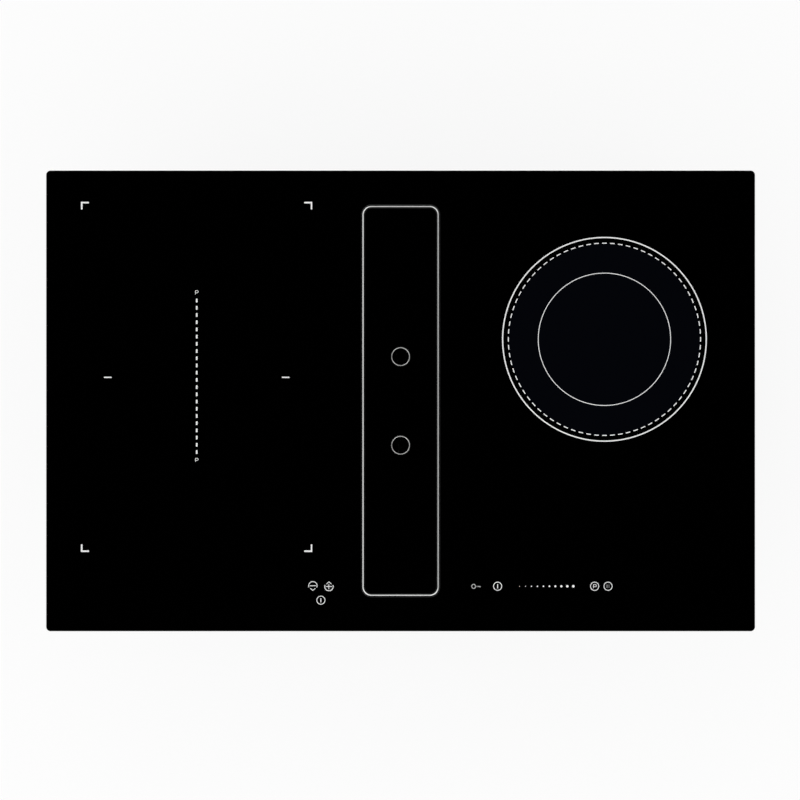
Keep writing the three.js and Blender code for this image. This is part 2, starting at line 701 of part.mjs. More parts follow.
function plenumTub() {
  const lidZ = EXTRACTOR_H - MOULD_WALL;
  const body = prism(plenumOutline(0), 0, lidZ);
  const hollow = prism(plenumOutline(-MOULD_WALL), MOULD_WALL, lidZ + CUT);
  const windowTop = EXTRACTOR_H - MOULD_WALL - HOOD_WALL;
  const windowBottom = SCROLL_H + HOOD_WALL;
  const window = prismX(
    rectangle(
      2 * HOOD_R, windowTop - windowBottom, FAN_Y, (windowTop + windowBottom) / 2),
    PLENUM_W / 2 - MOULD_WALL - CUT, PLENUM_W / 2 + CUT);
  const ribs = [];
  const ribCount = Math.floor((PLENUM_L / 2 - PLENUM_CORNER) / PLENUM_RIB_PITCH);
  const addRib = (side, y, taken) => {
    if (Math.abs(y - taken.y) < taken.half + PLENUM_RIB_T) return;
    const x = side * (PLENUM_W + PLENUM_RIB_DEPTH - SINK) / 2;
    const rib = rectangle(PLENUM_RIB_DEPTH + SINK, PLENUM_RIB_T, x, y);
    ribs.push(prism(rib, 0, lidZ - SEAM_LIP_T));
  };
  for (let i = -ribCount; i <= ribCount; i++) {
    addRib(-1, i * PLENUM_RIB_PITCH, { y: 0, half: CONTROL_D / 2 });
    addRib(1, i * PLENUM_RIB_PITCH, { y: FAN_Y, half: HOOD_R + HOOD_WALL });
  }
  return part('plenum_tub', join([body, ...ribs]).subtract(hollow).subtract(window), blackPlastic);
}

function plenumLid() {
  const plate = prism(plenumOutline(0), EXTRACTOR_H - MOULD_WALL, EXTRACTOR_H);
  const locating = prism(
    plenumOutline(-MOULD_WALL - SLIP_GAP),
    EXTRACTOR_H - 2 * MOULD_WALL, EXTRACTOR_H - MOULD_WALL + SINK);
  const throat = roundedRect(SHAFT_W, SHAFT_L, INNER_CORNER);
  const hollow = prism(throat, EXTRACTOR_H - 2 * MOULD_WALL - CUT, EXTRACTOR_H + CUT);
  return part('plenum_lid', plate.add(locating).subtract(hollow), blackPlastic);
}

// ------------------------------------------- blower, round its own Z axis

const TONGUE_START_R = IMPELLER_R + SCROLL_CLEARANCE;
const scrollR = (angle) => TONGUE_START_R * Math.exp(SCROLL_GROWTH * (angle - TONGUE_ANGLE));
const tonguePoint = polar(TONGUE_START_R, TONGUE_ANGLE);
const OUTLET_Y = DUCT_END_Y - SPIGOT_L - FAN_Y;
const OUTLET_LEFT = DUCT_X - DUCT_W / 2 + DUCT_WALL - FAN_X;
const OUTLET_RIGHT = DUCT_X + DUCT_W / 2 - DUCT_WALL - FAN_X;

// The air space inside the scroll, grown all round to give its walls: a log
// spiral from the tongue round to +X, and the duct that widens to the outlet
function scrollSpace(grow, z0, z1, outletY = OUTLET_Y) {
  const spiral = [new THREE.Vector2(0, 0)];
  for (let i = 0; i <= SCROLL_STEPS; i++) {
    const angle = TONGUE_ANGLE + ((FULL_TURN - TONGUE_ANGLE) * i) / SCROLL_STEPS;
    spiral.push(polar(scrollR(angle) + grow, angle));
  }
  const leftEnd = new THREE.Vector2(OUTLET_LEFT - grow, outletY);
  const along = leftEnd.clone().sub(tonguePoint).normalize();
  const outward = new THREE.Vector2(-along.y, along.x);
  const duct = [
    new THREE.Vector2(-SCROLL_CLEARANCE, -SCROLL_CLEARANCE),
    new THREE.Vector2(scrollR(FULL_TURN) + grow, 0),
    new THREE.Vector2(OUTLET_RIGHT + grow, outletY),
    leftEnd,
    tonguePoint.clone().addScaledVector(outward, grow),
  ];
  return prism(new THREE.Shape(spiral), z0, z1).add(prism(new THREE.Shape(duct), z0, z1));
}

// Middles of the screw bosses: on the spiral, then along the duct's two walls
function bossPoints() {
  const reach = MOULD_WALL + BOSS_R - SINK;
  const beside = (from, to, shares, side) => {
    const normal = to.clone().sub(from).normalize().rotateAround(new THREE.Vector2(), side * QUARTER);
    return shares.map((share) => from.clone().lerp(to, share).addScaledVector(normal, reach));
  };
  return [
    ...BOSS_ANGLES.map((angle) => polar(scrollR(angle) + reach, angle)),
    ...beside(
      new THREE.Vector2(scrollR(FULL_TURN), 0), new THREE.Vector2(OUTLET_RIGHT, OUTLET_Y),
      BOSS_SHARES_RIGHT, -1),
    ...beside(tonguePoint, new THREE.Vector2(OUTLET_LEFT, OUTLET_Y), BOSS_SHARES_LEFT, 1),
  ];
}

const seamBosses = (z0, z1) => bossPoints().map(({ x, y }) =>
  prism(circle(BOSS_R, x, y, 8), z0, z1));

function scrollLower() {
  const body = join([
    scrollSpace(MOULD_WALL, 0, SCROLL_LID_Z),
    scrollSpace(MOULD_WALL + SEAM_LIP, SCROLL_LID_Z - SEAM_LIP_T, SCROLL_LID_Z),
    ...seamBosses(SCROLL_LID_Z - BOSS_H, SCROLL_LID_Z),
  ]);
  const air = scrollSpace(0, MOULD_WALL, SCROLL_LID_Z + CUT, OUTLET_Y + CUT);
  const tongue = prism(
    circle(TONGUE_R, tonguePoint.x, tonguePoint.y, 12), MOULD_WALL - SINK, SCROLL_LID_Z);
  const seat = revolve([
    [0, MOULD_WALL - SINK],
    [MOTOR_SEAT_R + MOTOR_SEAT_H / 2, MOULD_WALL - SINK],
    [MOTOR_SEAT_R, MOULD_WALL + MOTOR_SEAT_H],
    [0, MOULD_WALL + MOTOR_SEAT_H],
  ]);
  return part('scroll_lower', join([body.subtract(air), tongue, seat]), blackPlastic);
}

// Lid of the scroll; its inlet rolls down into the impeller as a bell mouth
function scrollUpper() {
  const outline = scrollSpace(MOULD_WALL + SEAM_LIP, SCROLL_LID_Z, SCROLL_H);
  const plate = join([outline, ...seamBosses(SCROLL_LID_Z, SCROLL_H)])
    .subtract(prism(circle(MOUTH_R, 0, 0, 28), SCROLL_LID_Z - CUT, SCROLL_H + CUT));
  const rollZ = SCROLL_H - BELL_R;
  const roll = (radius) => arcPoints(MOUTH_R, rollZ, radius, QUARTER, 2 * QUARTER, 3)
    .map((point) => [point.x, point.y]);
  const bell = revolve([
    ...roll(BELL_R),
    ...roll(BELL_R - BELL_WALL).reverse(),
    [MOUTH_R + MOULD_WALL, SCROLL_H - BELL_WALL],
    [MOUTH_R + MOULD_WALL, SCROLL_H],
  ], 28);
  return part('scroll_upper', plate.add(bell), blackPlastic);
}

function hoodOutline(grow, reach) {
  const startX = PLENUM_W / 2 - FAN_X - reach;
  const radius = HOOD_R + grow;
  return new THREE.Shape([
    new THREE.Vector2(startX, -radius),
    ...arcPoints(0, 0, radius, -QUARTER, QUARTER, 20),
    new THREE.Vector2(startX, radius),
  ]);
}

// Leads the air from the plenum window over the scroll lid and down its mouth
function inletHood() {
  const shell = prism(hoodOutline(HOOD_WALL, 0), SCROLL_H, EXTRACTOR_H);
  const air = prism(hoodOutline(0, CUT), SCROLL_H + HOOD_WALL, EXTRACTOR_H - HOOD_WALL);
  const mouth = prism(
    circle(MOUTH_R, 0, 0, 28), SCROLL_H - CUT, SCROLL_H + HOOD_WALL + CUT);
  return part('inlet_hood', cutAway(shell, [air, mouth]), blackPlastic);
}

function bladeShape() {
  const front = [];
  const back = [];
  const innerR = IMPELLER_R - SINK - BLADE_DEPTH;
  for (let i = 0; i <= BLADE_STEPS; i++) {
    const along = i / BLADE_STEPS;
    const radius = innerR + BLADE_DEPTH * along;
    const angle = BLADE_LEAN * along * along;
    const halfAngle = BLADE_T / 2 / radius;
    front.push(polar(radius, angle + halfAngle));
    back.unshift(polar(radius, angle - halfAngle));
  }
  return new THREE.Shape([...back, ...front]);
}

// Forward-curved wheel: domed back disc over the rotor, blades, inlet shroud
function impeller() {
  const rotorSeatR = ROTOR_R + SLIP_GAP;
  const domeR = rotorSeatR + IMPELLER_DISC_T;
  const domeZ = MOULD_WALL + MOTOR_SEAT_H + MOTOR_BASE_T + TURN_GAP + ROTOR_H;
  const domeTop = domeZ + IMPELLER_DISC_T;
  const hub = revolve([
    [0, domeZ],
    [rotorSeatR, domeZ],
    [rotorSeatR, IMPELLER_Z],
    [IMPELLER_R, IMPELLER_Z],
    [IMPELLER_R, IMPELLER_Z + IMPELLER_DISC_T],
    [domeR + IMPELLER_DISC_T, IMPELLER_Z + IMPELLER_DISC_T],
    [domeR, domeTop - 2 * IMPELLER_DISC_T],
    [domeR - IMPELLER_DISC_T, domeTop],
    [0, domeTop],
  ], 24);
  const shroud = revolve([
    [IMPELLER_R - SHROUD_W, IMPELLER_TOP_Z - IMPELLER_DISC_T],
    [IMPELLER_R, IMPELLER_TOP_Z - IMPELLER_DISC_T],
    [IMPELLER_R, IMPELLER_TOP_Z],
    [IMPELLER_R - SHROUD_W, IMPELLER_TOP_Z],
  ], 24);
  const bladeZ0 = IMPELLER_Z + IMPELLER_DISC_T - SINK;
  const bladeZ1 = IMPELLER_TOP_Z - IMPELLER_DISC_T + SINK;
  const blade = prism(bladeShape(), bladeZ0, bladeZ1);
  const blades = Array.from({ length: BLADE_COUNT }, (_, i) =>
    blade.rotate([0, 0, (360 * i) / BLADE_COUNT]));
  return part('impeller', join([hub, shroud, ...blades]), greyPlastic);
}

const ROTOR_Z = MOULD_WALL + MOTOR_SEAT_H + MOTOR_BASE_T;

function motorRotor() {
  const top = ROTOR_Z + ROTOR_H;
  const boreR = SHAFT_R + TURN_GAP;
  const boreTop = top - ROTOR_WALL;
  const hubR = 2 * SHAFT_R;
  const cupZ = top - 2 * ROTOR_WALL;
  const cup = revolve([
    [0, boreTop],
    [boreR, boreTop],
    [boreR, cupZ - ROTOR_WALL],
    [hubR, cupZ - ROTOR_WALL],
    [hubR, cupZ],
    [ROTOR_R - ROTOR_WALL, cupZ],
    [ROTOR_R - ROTOR_WALL, ROTOR_Z + ROTOR_WALL],
    [ROTOR_R, ROTOR_Z + ROTOR_WALL],
    [ROTOR_R, top],
    [0, top],
  ], 18);
  return part('motor_rotor', cup, motorSteel);
}

function motorStator() {
  const seatZ = MOULD_WALL + MOTOR_SEAT_H;
  const coreR = ROTOR_R - ROTOR_WALL - STATOR_GAP;
  const cupZ = ROTOR_Z + ROTOR_H - 2 * ROTOR_WALL;
  const coreTop = cupZ - 2 * ROTOR_WALL;
  const coreZ = ROTOR_Z + ROTOR_WALL;
  const shaftTop = ROTOR_Z + ROTOR_H - ROTOR_WALL - TURN_GAP;
  const stator = revolve([
    [0, seatZ],
    [MOTOR_SEAT_R, seatZ],
    [MOTOR_SEAT_R, ROTOR_Z],
    [SHAFT_R * 3, ROTOR_Z],
    [SHAFT_R * 3, coreZ],
    [coreR, coreZ],
    [coreR, coreTop],
    [SHAFT_R, coreTop],
    [SHAFT_R, shaftTop],
    [0, shaftTop],
  ], 18);
  return part('motor_stator', stator, motorSteel);
}

// --------------------------------------------------------- outlet and flaps

const SPIGOT_Y = DUCT_END_Y - SPIGOT_L;
const SPIGOT_TUBE_Y = SPIGOT_Y + SPIGOT_FLANGE_T;
const DUCT_Z = SCROLL_H / 2;
const FLAP_FACE_Y = SPIGOT_TUBE_Y + FLAP_STOP_L + TURN_GAP;
const FLAP_PIN_Y = SPIGOT_TUBE_Y + FLAP_STOP_L + FLAP_PIN_R + TURN_GAP;
const FLAP_INNER_W = DUCT_W - 2 * DUCT_WALL;
const FLAP_INNER_H = DUCT_H - 2 * DUCT_WALL;

// Spigot, drawn about the duct's centre line: flange, tube and flap stop
function outletSpigot() {
  const bore = () => roundedRect(FLAP_INNER_W, FLAP_INNER_H, DUCT_CORNER - DUCT_WALL);
  const tube = prismY(
    withHoles(roundedRect(DUCT_W, DUCT_H, DUCT_CORNER), bore()), SPIGOT_TUBE_Y, DUCT_END_Y);
  const beadEnd = DUCT_END_Y - DUCT_BEAD_END;
  const bead = prismY(
    withHoles(
      roundedRect(DUCT_W + 2 * DUCT_BEAD, DUCT_H + 2 * DUCT_BEAD, DUCT_CORNER + DUCT_BEAD), bore()),
    beadEnd - DUCT_BEAD_L, beadEnd);
  const flange = prismY(
    withHoles(rectangle(DUCT_W + 2 * SEAM_LIP + 2 * MOULD_WALL, SCROLL_H), bore()),
    SPIGOT_Y, SPIGOT_TUBE_Y + SINK);
  const stop = prismY(
    withHoles(
      roundedRect(FLAP_INNER_W + DUCT_WALL, FLAP_INNER_H + DUCT_WALL, DUCT_CORNER - DUCT_WALL),
      rectangle(FLAP_INNER_W - 2 * FLAP_STOP, FLAP_INNER_H - 2 * FLAP_STOP)),
    SPIGOT_TUBE_Y, SPIGOT_TUBE_Y + FLAP_STOP_L);
  return part('outlet_spigot', join([tube, bead, flange, stop]), blackPlastic);
}

function flapPin() {
  const half = FLAP_INNER_W / 2 - TURN_GAP;
  const pin = prismX(circle(FLAP_PIN_R, FLAP_PIN_Y, 0, 12), -half, half);
  return part('flap_pin', pin, stainless);
}

// side is 1 for the upper flap and -1 for the lower one
function backdraftFlap(name, side) {
  const knuckle = (radius, x, gap) => prismX(
    circle(radius, FLAP_PIN_Y, 0, 12),
    x - FLAP_KNUCKLE_L / 2 - gap, x + FLAP_KNUCKLE_L / 2 + gap);
  const inner = FLAP_PIN_R + TURN_GAP;
  const outer = FLAP_INNER_H / 2 - FLAP_EDGE_GAP;
  const plate = prismY(
    rectangle(FLAP_INNER_W - 2 * FLAP_EDGE_GAP, outer - inner, 0, side * (outer + inner) / 2),
    FLAP_FACE_Y, FLAP_FACE_Y + FLAP_T);
  const corner = DUCT_CORNER - DUCT_WALL;
  const cornerX = FLAP_INNER_W / 2 - FLAP_EDGE_GAP;
  const cornerCuts = [-1, 1].map((end) => prismY(
    new THREE.Shape([
      new THREE.Vector2(end * (cornerX + CUT), side * (outer + CUT)),
      new THREE.Vector2(end * (cornerX - corner - CUT), side * (outer + CUT)),
      new THREE.Vector2(end * (cornerX + CUT), side * (outer - corner - CUT)),
    ]),
    FLAP_FACE_Y - CUT, FLAP_FACE_Y + FLAP_T + CUT));
  const ribStart = FLAP_KNUCKLE_R + FLAP_RIB_END;
  const ribL = outer - FLAP_RIB_END - ribStart;
  const ribs = Array.from({ length: FLAP_RIB_COUNT }, (_, i) => prismY(
    rectangle(
      FLAP_RIB_T, ribL, (i - (FLAP_RIB_COUNT - 1) / 2) * FLAP_RIB_PITCH, side * (ribStart + ribL / 2)),
    FLAP_FACE_Y + FLAP_T - SINK, FLAP_FACE_Y + FLAP_T + FLAP_RIB_H));
  const own = FLAP_KNUCKLE_X.map((x) => knuckle(FLAP_KNUCKLE_R, side * x, 0));
  const other = FLAP_KNUCKLE_X.map((x) => knuckle(FLAP_KNUCKLE_R + SLIP_GAP, -side * x, SLIP_GAP));
  const bore = prismX(
    circle(FLAP_PIN_R + TURN_GAP, FLAP_PIN_Y, 0, 12), -FLAP_INNER_W, FLAP_INNER_W);
  const flap = cutAway(join([plate, ...ribs, ...own]), [...cornerCuts, ...other, bore]);
  return part(name, flap, whitePlastic);
}

// -------------------------------------------------------------- hob chassis

function glassFrame() {
  const outer = () => roundedRect(FRAME_W, FRAME_D, CUTOUT_CORNER);
  const inside = roundedRect(FRAME_W - 2 * SHEET_T, FRAME_D - 2 * SHEET_T, CUTOUT_CORNER - SHEET_T);
  const skirt = prism(withHoles(outer(), inside), WORKTOP_Z - FRAME_SKIRT_H, GLASS_Z);
  const reach = SHEET_T + SLIP_GAP + SHEET_T + FRAME_FLANGE;
  const flange = prism(
    withHoles(outer(), rectangle(FRAME_W - 2 * reach, FRAME_D - 2 * reach)),
    GLASS_Z - SHEET_T, GLASS_Z);
  return part('glass_frame', skirt.add(flange), zincSheet);
}

function floorVents(x, y) {
  return Array.from({ length: VENT_COUNT }, (_, i) => {
    const offset = (i - (VENT_COUNT - 1) / 2) * VENT_PITCH;
    const length = 2 * Math.sqrt((VENT_L / 2 + VENT_PITCH) ** 2 - offset ** 2);
    return prism(rectangle(length, VENT_W, x, y + offset), TRAY_Z - CUT, FLOOR_Z + CUT);
  });
}

function wallVents(x) {
  const z = (FLOOR_Z + SHIELD_TOP_Z) / 2;
  return Array.from({ length: WALL_VENT_COUNT }, (_, i) => {
    const offset = (i - (WALL_VENT_COUNT - 1) / 2) * WALL_VENT_PITCH;
    return prismY(
      rectangle(WALL_VENT_W, WALL_VENT_H, x + offset, z),
      TRAY_D / 2 - SHEET_T - CUT, TRAY_D / 2 + CUT);
  });
}

// Folded sheet tray with a collar round the inlet shaft, and its vents
function baseTray() {
  const corner = CUTOUT_CORNER - SHEET_T - SLIP_GAP;
  const top = GLASS_Z - SHEET_T;
  const outer = prism(roundedRect(TRAY_W, TRAY_D, corner), TRAY_Z, top);
  const inside = prism(
    roundedRect(TRAY_W - 2 * SHEET_T, TRAY_D - 2 * SHEET_T, corner - SHEET_T), FLOOR_Z, top + CUT);
  const collar = prism(
    roundedRect(COLLAR_W + 2 * SHEET_T, COLLAR_L + 2 * SHEET_T, INNER_CORNER + SHEET_T),
    TRAY_Z, TRIM_Z - EASY_GAP);
  const opening = prism(roundedRect(COLLAR_W, COLLAR_L, INNER_CORNER), TRAY_Z - CUT, top + CUT);
  const vents = [
    ...floorVents(-ZONE_X, LEFT_COOLER_Y), ...floorVents(ZONE_X, RIGHT_COOLER_Y),
    ...wallVents(-ZONE_X), ...wallVents(ZONE_X)];
  const shell = outer.subtract(inside).add(collar);
  return part('base_tray', cutAway(shell, [opening, ...vents]), zincSheet);
}

const CLAMP_BOLT_TOP_Z = TRAY_Z;

// A clamp is drawn round its bolt. inward is 1 where the resting arm points to +Y.
function clamp(name, x, y, inward) {
  const tip = inward * CLAMP_ARM_L;
  const arm = join([
    prism(circle(CLAMP_ARM_W / 2, 0, 0, 12), CLAMP_ARM_Z, CLAMP_ARM_Z + CLAMP_ARM_T),
    prism(rectangle(CLAMP_ARM_W, CLAMP_ARM_L, 0, tip / 2), CLAMP_ARM_Z, CLAMP_ARM_Z + CLAMP_ARM_T),
    prism(
      circle(CLAMP_PAD_R, 0, tip - inward * CLAMP_ARM_W / 2, 8),
      CLAMP_ARM_Z + SINK, TRAY_Z - SLIP_GAP),
  ]).subtract(prism(
    circle(CLAMP_BOLT_R + TURN_GAP, 0, 0, 12), CLAMP_ARM_Z - CUT, CLAMP_ARM_Z + CLAMP_ARM_T + CUT));
  const headZ = CLAMP_ARM_Z - TURN_GAP;
  const bolt = join([
    prism(circle(CLAMP_HEAD_R, 0, 0, 6), headZ - CLAMP_HEAD_H, headZ),
    prism(circle(CLAMP_BOLT_R, 0, 0, 12), headZ - SINK, CLAMP_BOLT_TOP_Z),
  ]);
  return groupAt(x, y, [
    part(`clamp_arm_${name}`, arm, zincSheet),
    part(`clamp_bolt_${name}`, bolt, stainless),
  ]);
}

// -------------------------------------------------------- coils and shields

const coilPost = (x, y) => prism(circle(COIL_POST_R, x, y, 6), SHIELD_TOP_Z, CARRIER_Z + SINK);

// Ferrite bars in a star under the carrier, from the eye to near its edge
function ferriteStar(innerR, outerR) {
  const length = outerR - innerR;
  return Array.from({ length: FERRITE_COUNT }, (_, i) =>
    prism(rectangle(length, FERRITE_W, innerR + length / 2, 0), CARRIER_Z - FERRITE_T, CARRIER_Z + SINK)
      .rotate([0, 0, (360 * (i + 0.5)) / FERRITE_COUNT]));
}

function obloidCarrier(name) {
  const plate = prism(
    withHoles(
      roundedRect(LEFT_COIL_W, LEFT_COIL_D, LEFT_COIL_CORNER), circle(CARRIER_EYE_R, 0, 0, 12)),
    CARRIER_Z, WINDING_Z);
  const starR = LEFT_COIL_D / 2 - CARRIER_EDGE;
  const postX = LEFT_COIL_W / 2 - LEFT_COIL_CORNER / 2;
  const postY = LEFT_COIL_D / 2 - LEFT_COIL_CORNER / 2;
  const posts = [[-1, -1], [1, -1], [1, 1], [-1, 1]].map(([sideX, sideY]) =>
    coilPost(sideX * postX, sideY * postY));
  return part(name, join([plate, ...ferriteStar(2 * CARRIER_EYE_R, starR), ...posts]), coilPlastic);
}

function obloidWinding(name) {
  const outlineAt = (inset) => roundedRect(
    LEFT_COIL_W - 2 * (CARRIER_EDGE + inset), LEFT_COIL_D - 2 * (CARRIER_EDGE + inset),
    LEFT_COIL_CORNER - inset / 2);
  const ring = withHoles(outlineAt(0), outlineAt(LEFT_WINDING_W));
  return part(name, prism(ring, WINDING_Z, WINDING_Z + WINDING_T), copper);
}

function roundCarrier(name) {
  const plate = prism(
    withHoles(circle(RIGHT_COIL_R, 0, 0, 24), circle(CARRIER_EYE_R, 0, 0, 12)),
    CARRIER_Z, WINDING_Z);
  const reach = (OUTER_WINDING_R + INNER_WINDING_R) / 2 / Math.SQRT2;
  const posts = [[-1, -1], [1, -1], [1, 1], [-1, 1]].map(([sideX, sideY]) =>
    coilPost(sideX * reach, sideY * reach));
  const star = ferriteStar(2 * CARRIER_EYE_R, OUTER_WINDING_R);
  return part(name, join([plate, ...star, ...posts]), coilPlastic);
}

function roundWinding(name, radius, eyeR) {
  const ring = withHoles(circle(radius, 0, 0, 24), circle(eyeR, 0, 0, 24));
  return part(name, prism(ring, WINDING_Z, WINDING_Z + WINDING_T), copper);
}

// Inverted channel on turned-out feet, drawn round the zone's X
function coilShield(name, y0, y1) {
  const half = SHIELD_W / 2;
  const section = new THREE.Shape([
    new THREE.Vector2(-half - SHIELD_FOOT, FLOOR_Z),
    new THREE.Vector2(-half + SHIELD_T, FLOOR_Z),
    new THREE.Vector2(-half + SHIELD_T, SHIELD_TOP_Z - SHIELD_T),
    new THREE.Vector2(half - SHIELD_T, SHIELD_TOP_Z - SHIELD_T),
    new THREE.Vector2(half - SHIELD_T, FLOOR_Z),
    new THREE.Vector2(half + SHIELD_FOOT, FLOOR_Z),
    new THREE.Vector2(half + SHIELD_FOOT, FLOOR_Z + SHIELD_T),
    new THREE.Vector2(half, FLOOR_Z + SHIELD_T),
    new THREE.Vector2(half, SHIELD_TOP_Z),
    new THREE.Vector2(-half, SHIELD_TOP_Z),
    new THREE.Vector2(-half, FLOOR_Z + SHIELD_T),
    new THREE.Vector2(-half - SHIELD_FOOT, FLOOR_Z + SHIELD_T),
  ]);
  return part(name, prismY(section, y0, y1), aluminium);
}

// -------------------------------------------------------------- electronics

function powerBoard(name) {
  const z = FLOOR_Z + PCB_STANDOFF;
  const top = z + PCB_T;
  const board = prism(rectangle(POWER_BOARD_W, POWER_BOARD_D, 0, POWER_BOARD_Y), z, top);
  const pieces = [board];
  for (const [sideX, sideY] of [[-1, -1], [1, -1], [1, 1], [-1, 1]]) {
    const x = sideX * (POWER_BOARD_W / 2 - 2 * PCB_STANDOFF);
    const y = POWER_BOARD_Y + sideY * (POWER_BOARD_D / 2 - 2 * PCB_STANDOFF);
    pieces.push(prism(circle(PCB_STANDOFF, x, y, 6), FLOOR_Z, z + SINK));
  }
  for (let i = -1; i <= 1; i++) {
    const x = i * 3 * CAPACITOR_R;
    const can = circle(CAPACITOR_R, x, POWER_BOARD_Y + POWER_BOARD_D / 4, 10);
    pieces.push(prism(can, top - SINK, top + CAPACITOR_H));
  }
  for (const side of [-1, 1]) {
    const block = rectangle(
      3 * CAPACITOR_R, 2 * CAPACITOR_R, side * POWER_BOARD_W / 3, POWER_BOARD_Y);
    pieces.push(prism(block, top - SINK, top + CAPACITOR_H * 0.75));
  }
  return part(name, join(pieces), circuitBoard);
}

function heatSink(name) {
  const pitch = (HEAT_SINK_W - HEAT_SINK_FIN_T) / (HEAT_SINK_FINS - 1);
  const baseTop = FLOOR_Z + HEAT_SINK_BASE;
  const top = FLOOR_Z + HEAT_SINK_H;
  const right = HEAT_SINK_W / 2;
  const outline = [new THREE.Vector2(-right, FLOOR_Z), new THREE.Vector2(right, FLOOR_Z)];
  for (let i = 0; i < HEAT_SINK_FINS; i++) {
    const x = right - i * pitch;
    if (i > 0) outline.push(new THREE.Vector2(x, baseTop));
    outline.push(new THREE.Vector2(x, top), new THREE.Vector2(x - HEAT_SINK_FIN_T, top));
    if (i < HEAT_SINK_FINS - 1) outline.push(new THREE.Vector2(x - HEAT_SINK_FIN_T, baseTop));
  }
  const y0 = HEAT_SINK_Y - HEAT_SINK_D / 2;
  return part(name, prismY(new THREE.Shape(outline), y0, y0 + HEAT_SINK_D), aluminium);
}

// Small radial fan: open to the floor vents below, blows out towards +Y
function coolerFrame(name) {
  const top = FLOOR_Z + COOLER_H;
  const shell = prism(
    roundedRect(COOLER_SIZE, COOLER_SIZE, COOLER_CORNER), FLOOR_Z, top);
  const bore = prism(circle(COOLER_BORE_R, 0, 0, 24), FLOOR_Z - CUT, top - COOLER_WALL);
  const outlet = prism(
    rectangle(COOLER_OUTLET_W, COOLER_SIZE / 2 + CUT, 0, COOLER_SIZE / 4 + CUT / 2),
    FLOOR_Z + COOLER_WALL, top - COOLER_WALL);
  const stud = prism(
    circle(COOLER_STUD_R, 0, 0, 12),
    top - COOLER_WALL - COOLER_WHEEL_H, top - COOLER_WALL + SINK);
  return part(name, cutAway(shell, [bore, outlet]).add(stud), blackPlastic);
}

function coolerWheel(name) {
  const top = FLOOR_Z + COOLER_H - COOLER_WALL - TURN_GAP;
  const bottom = top - COOLER_WHEEL_H;
  const hub = prism(circle(COOLER_HUB_R), bottom, top);
  const reach = COOLER_WHEEL_R - COOLER_HUB_R + 1;
  const vane = prism(
    rectangle(reach, COOLER_BLADE_T, COOLER_HUB_R - 1 + reach / 2, 0),
    bottom + COOLER_BLADE_T, top - COOLER_BLADE_T);
  const vanes = Array.from({ length: COOLER_BLADES }, (_, i) =>
    vane.rotate([0, 0, (360 * i) / COOLER_BLADES]));
  const bore = prism(circle(COOLER_STUD_R + TURN_GAP, 0, 0, 12), bottom - CUT, top + CUT);
  return part(name, join([hub, ...vanes]).subtract(bore), greyPlastic);
}

// ------------------------------------------------------------ touch controls

function touchBoard(name, x, y, width, depth, pads) {
  const board = prism(rectangle(width, depth), TOUCH_PCB_Z, TOUCH_PCB_Z + PCB_T);
  const springs = pads.map(([padX, padY]) =>
    prism(circle(PAD_R, padX, padY, 8), TOUCH_PCB_Z + PCB_T - SINK, GLASS_Z));
  return groupAt(x, y, [part(name, join([board, ...springs]), circuitBoard)]);
}

function hobTouchBoard() {
  const pads = Array.from({ length: HOB_PADS.count }, (_, i) =>
    [(i - (HOB_PADS.count - 1) / 2) * HOB_PADS.pitch, 0]);
  return touchBoard(
    'hob_touch_board', HOB_BOARD_X, HOB_BOARD_Y, HOB_BOARD_W, HOB_BOARD_D, pads);
}

function fanTouchBoard() {
  const pads = [[-FAN_KEY_X, FAN_KEY_Y], [FAN_KEY_X, FAN_KEY_Y], [0, FAN_POWER_Y]];
  return touchBoard(
    'fan_touch_board', FAN_BOARD_X, FAN_BOARD_Y, FAN_BOARD_W, FAN_BOARD_D, pads);
}

// One moulded rail in front of the inlet, with a tray under each touch board
function touchCarrier() {
  const bottom = TOUCH_PCB_Z - TOUCH_CARRIER_T;
  const left = Math.min(...TOUCH_POST_X) - 2 * TOUCH_POST_R;
  const right = Math.max(...TOUCH_POST_X) + 2 * TOUCH_POST_R;
  const rail = rectangle(right - left, TOUCH_RAIL_D, (left + right) / 2, TOUCH_RAIL_Y);
  const shelf = (x, y, width, depth) => {
    const back = y + depth / 2;
    return prism(rectangle(width, back - TOUCH_RAIL_Y, x, (back + TOUCH_RAIL_Y) / 2),
      bottom, TOUCH_PCB_Z);
  };
  const posts = TOUCH_POST_X.map((x) =>
    prism(circle(TOUCH_POST_R, x, TOUCH_RAIL_Y, 8), FLOOR_Z, bottom + SINK));
  return part('touch_carrier', join([
    prism(rail, bottom, TOUCH_PCB_Z),
    shelf(HOB_BOARD_X, HOB_BOARD_Y, HOB_BOARD_W, HOB_BOARD_D),
    shelf(FAN_BOARD_X, FAN_BOARD_Y, FAN_BOARD_W, FAN_BOARD_D),
    ...posts,
  ]), blackPlastic);
}

// ------------------------------------------- terminal box, round its middle

const TERMINAL_Z = TRAY_Z - TERMINAL_H;
const TERMINAL_MID_Z = TRAY_Z - TERMINAL_H / 2;
const LID_PIN_Y = TERMINAL_D / 2 + TURN_GAP + LID_KNUCKLE_R;
const LID_PIN_Z = TRAY_Z - LID_HINGE_Z;

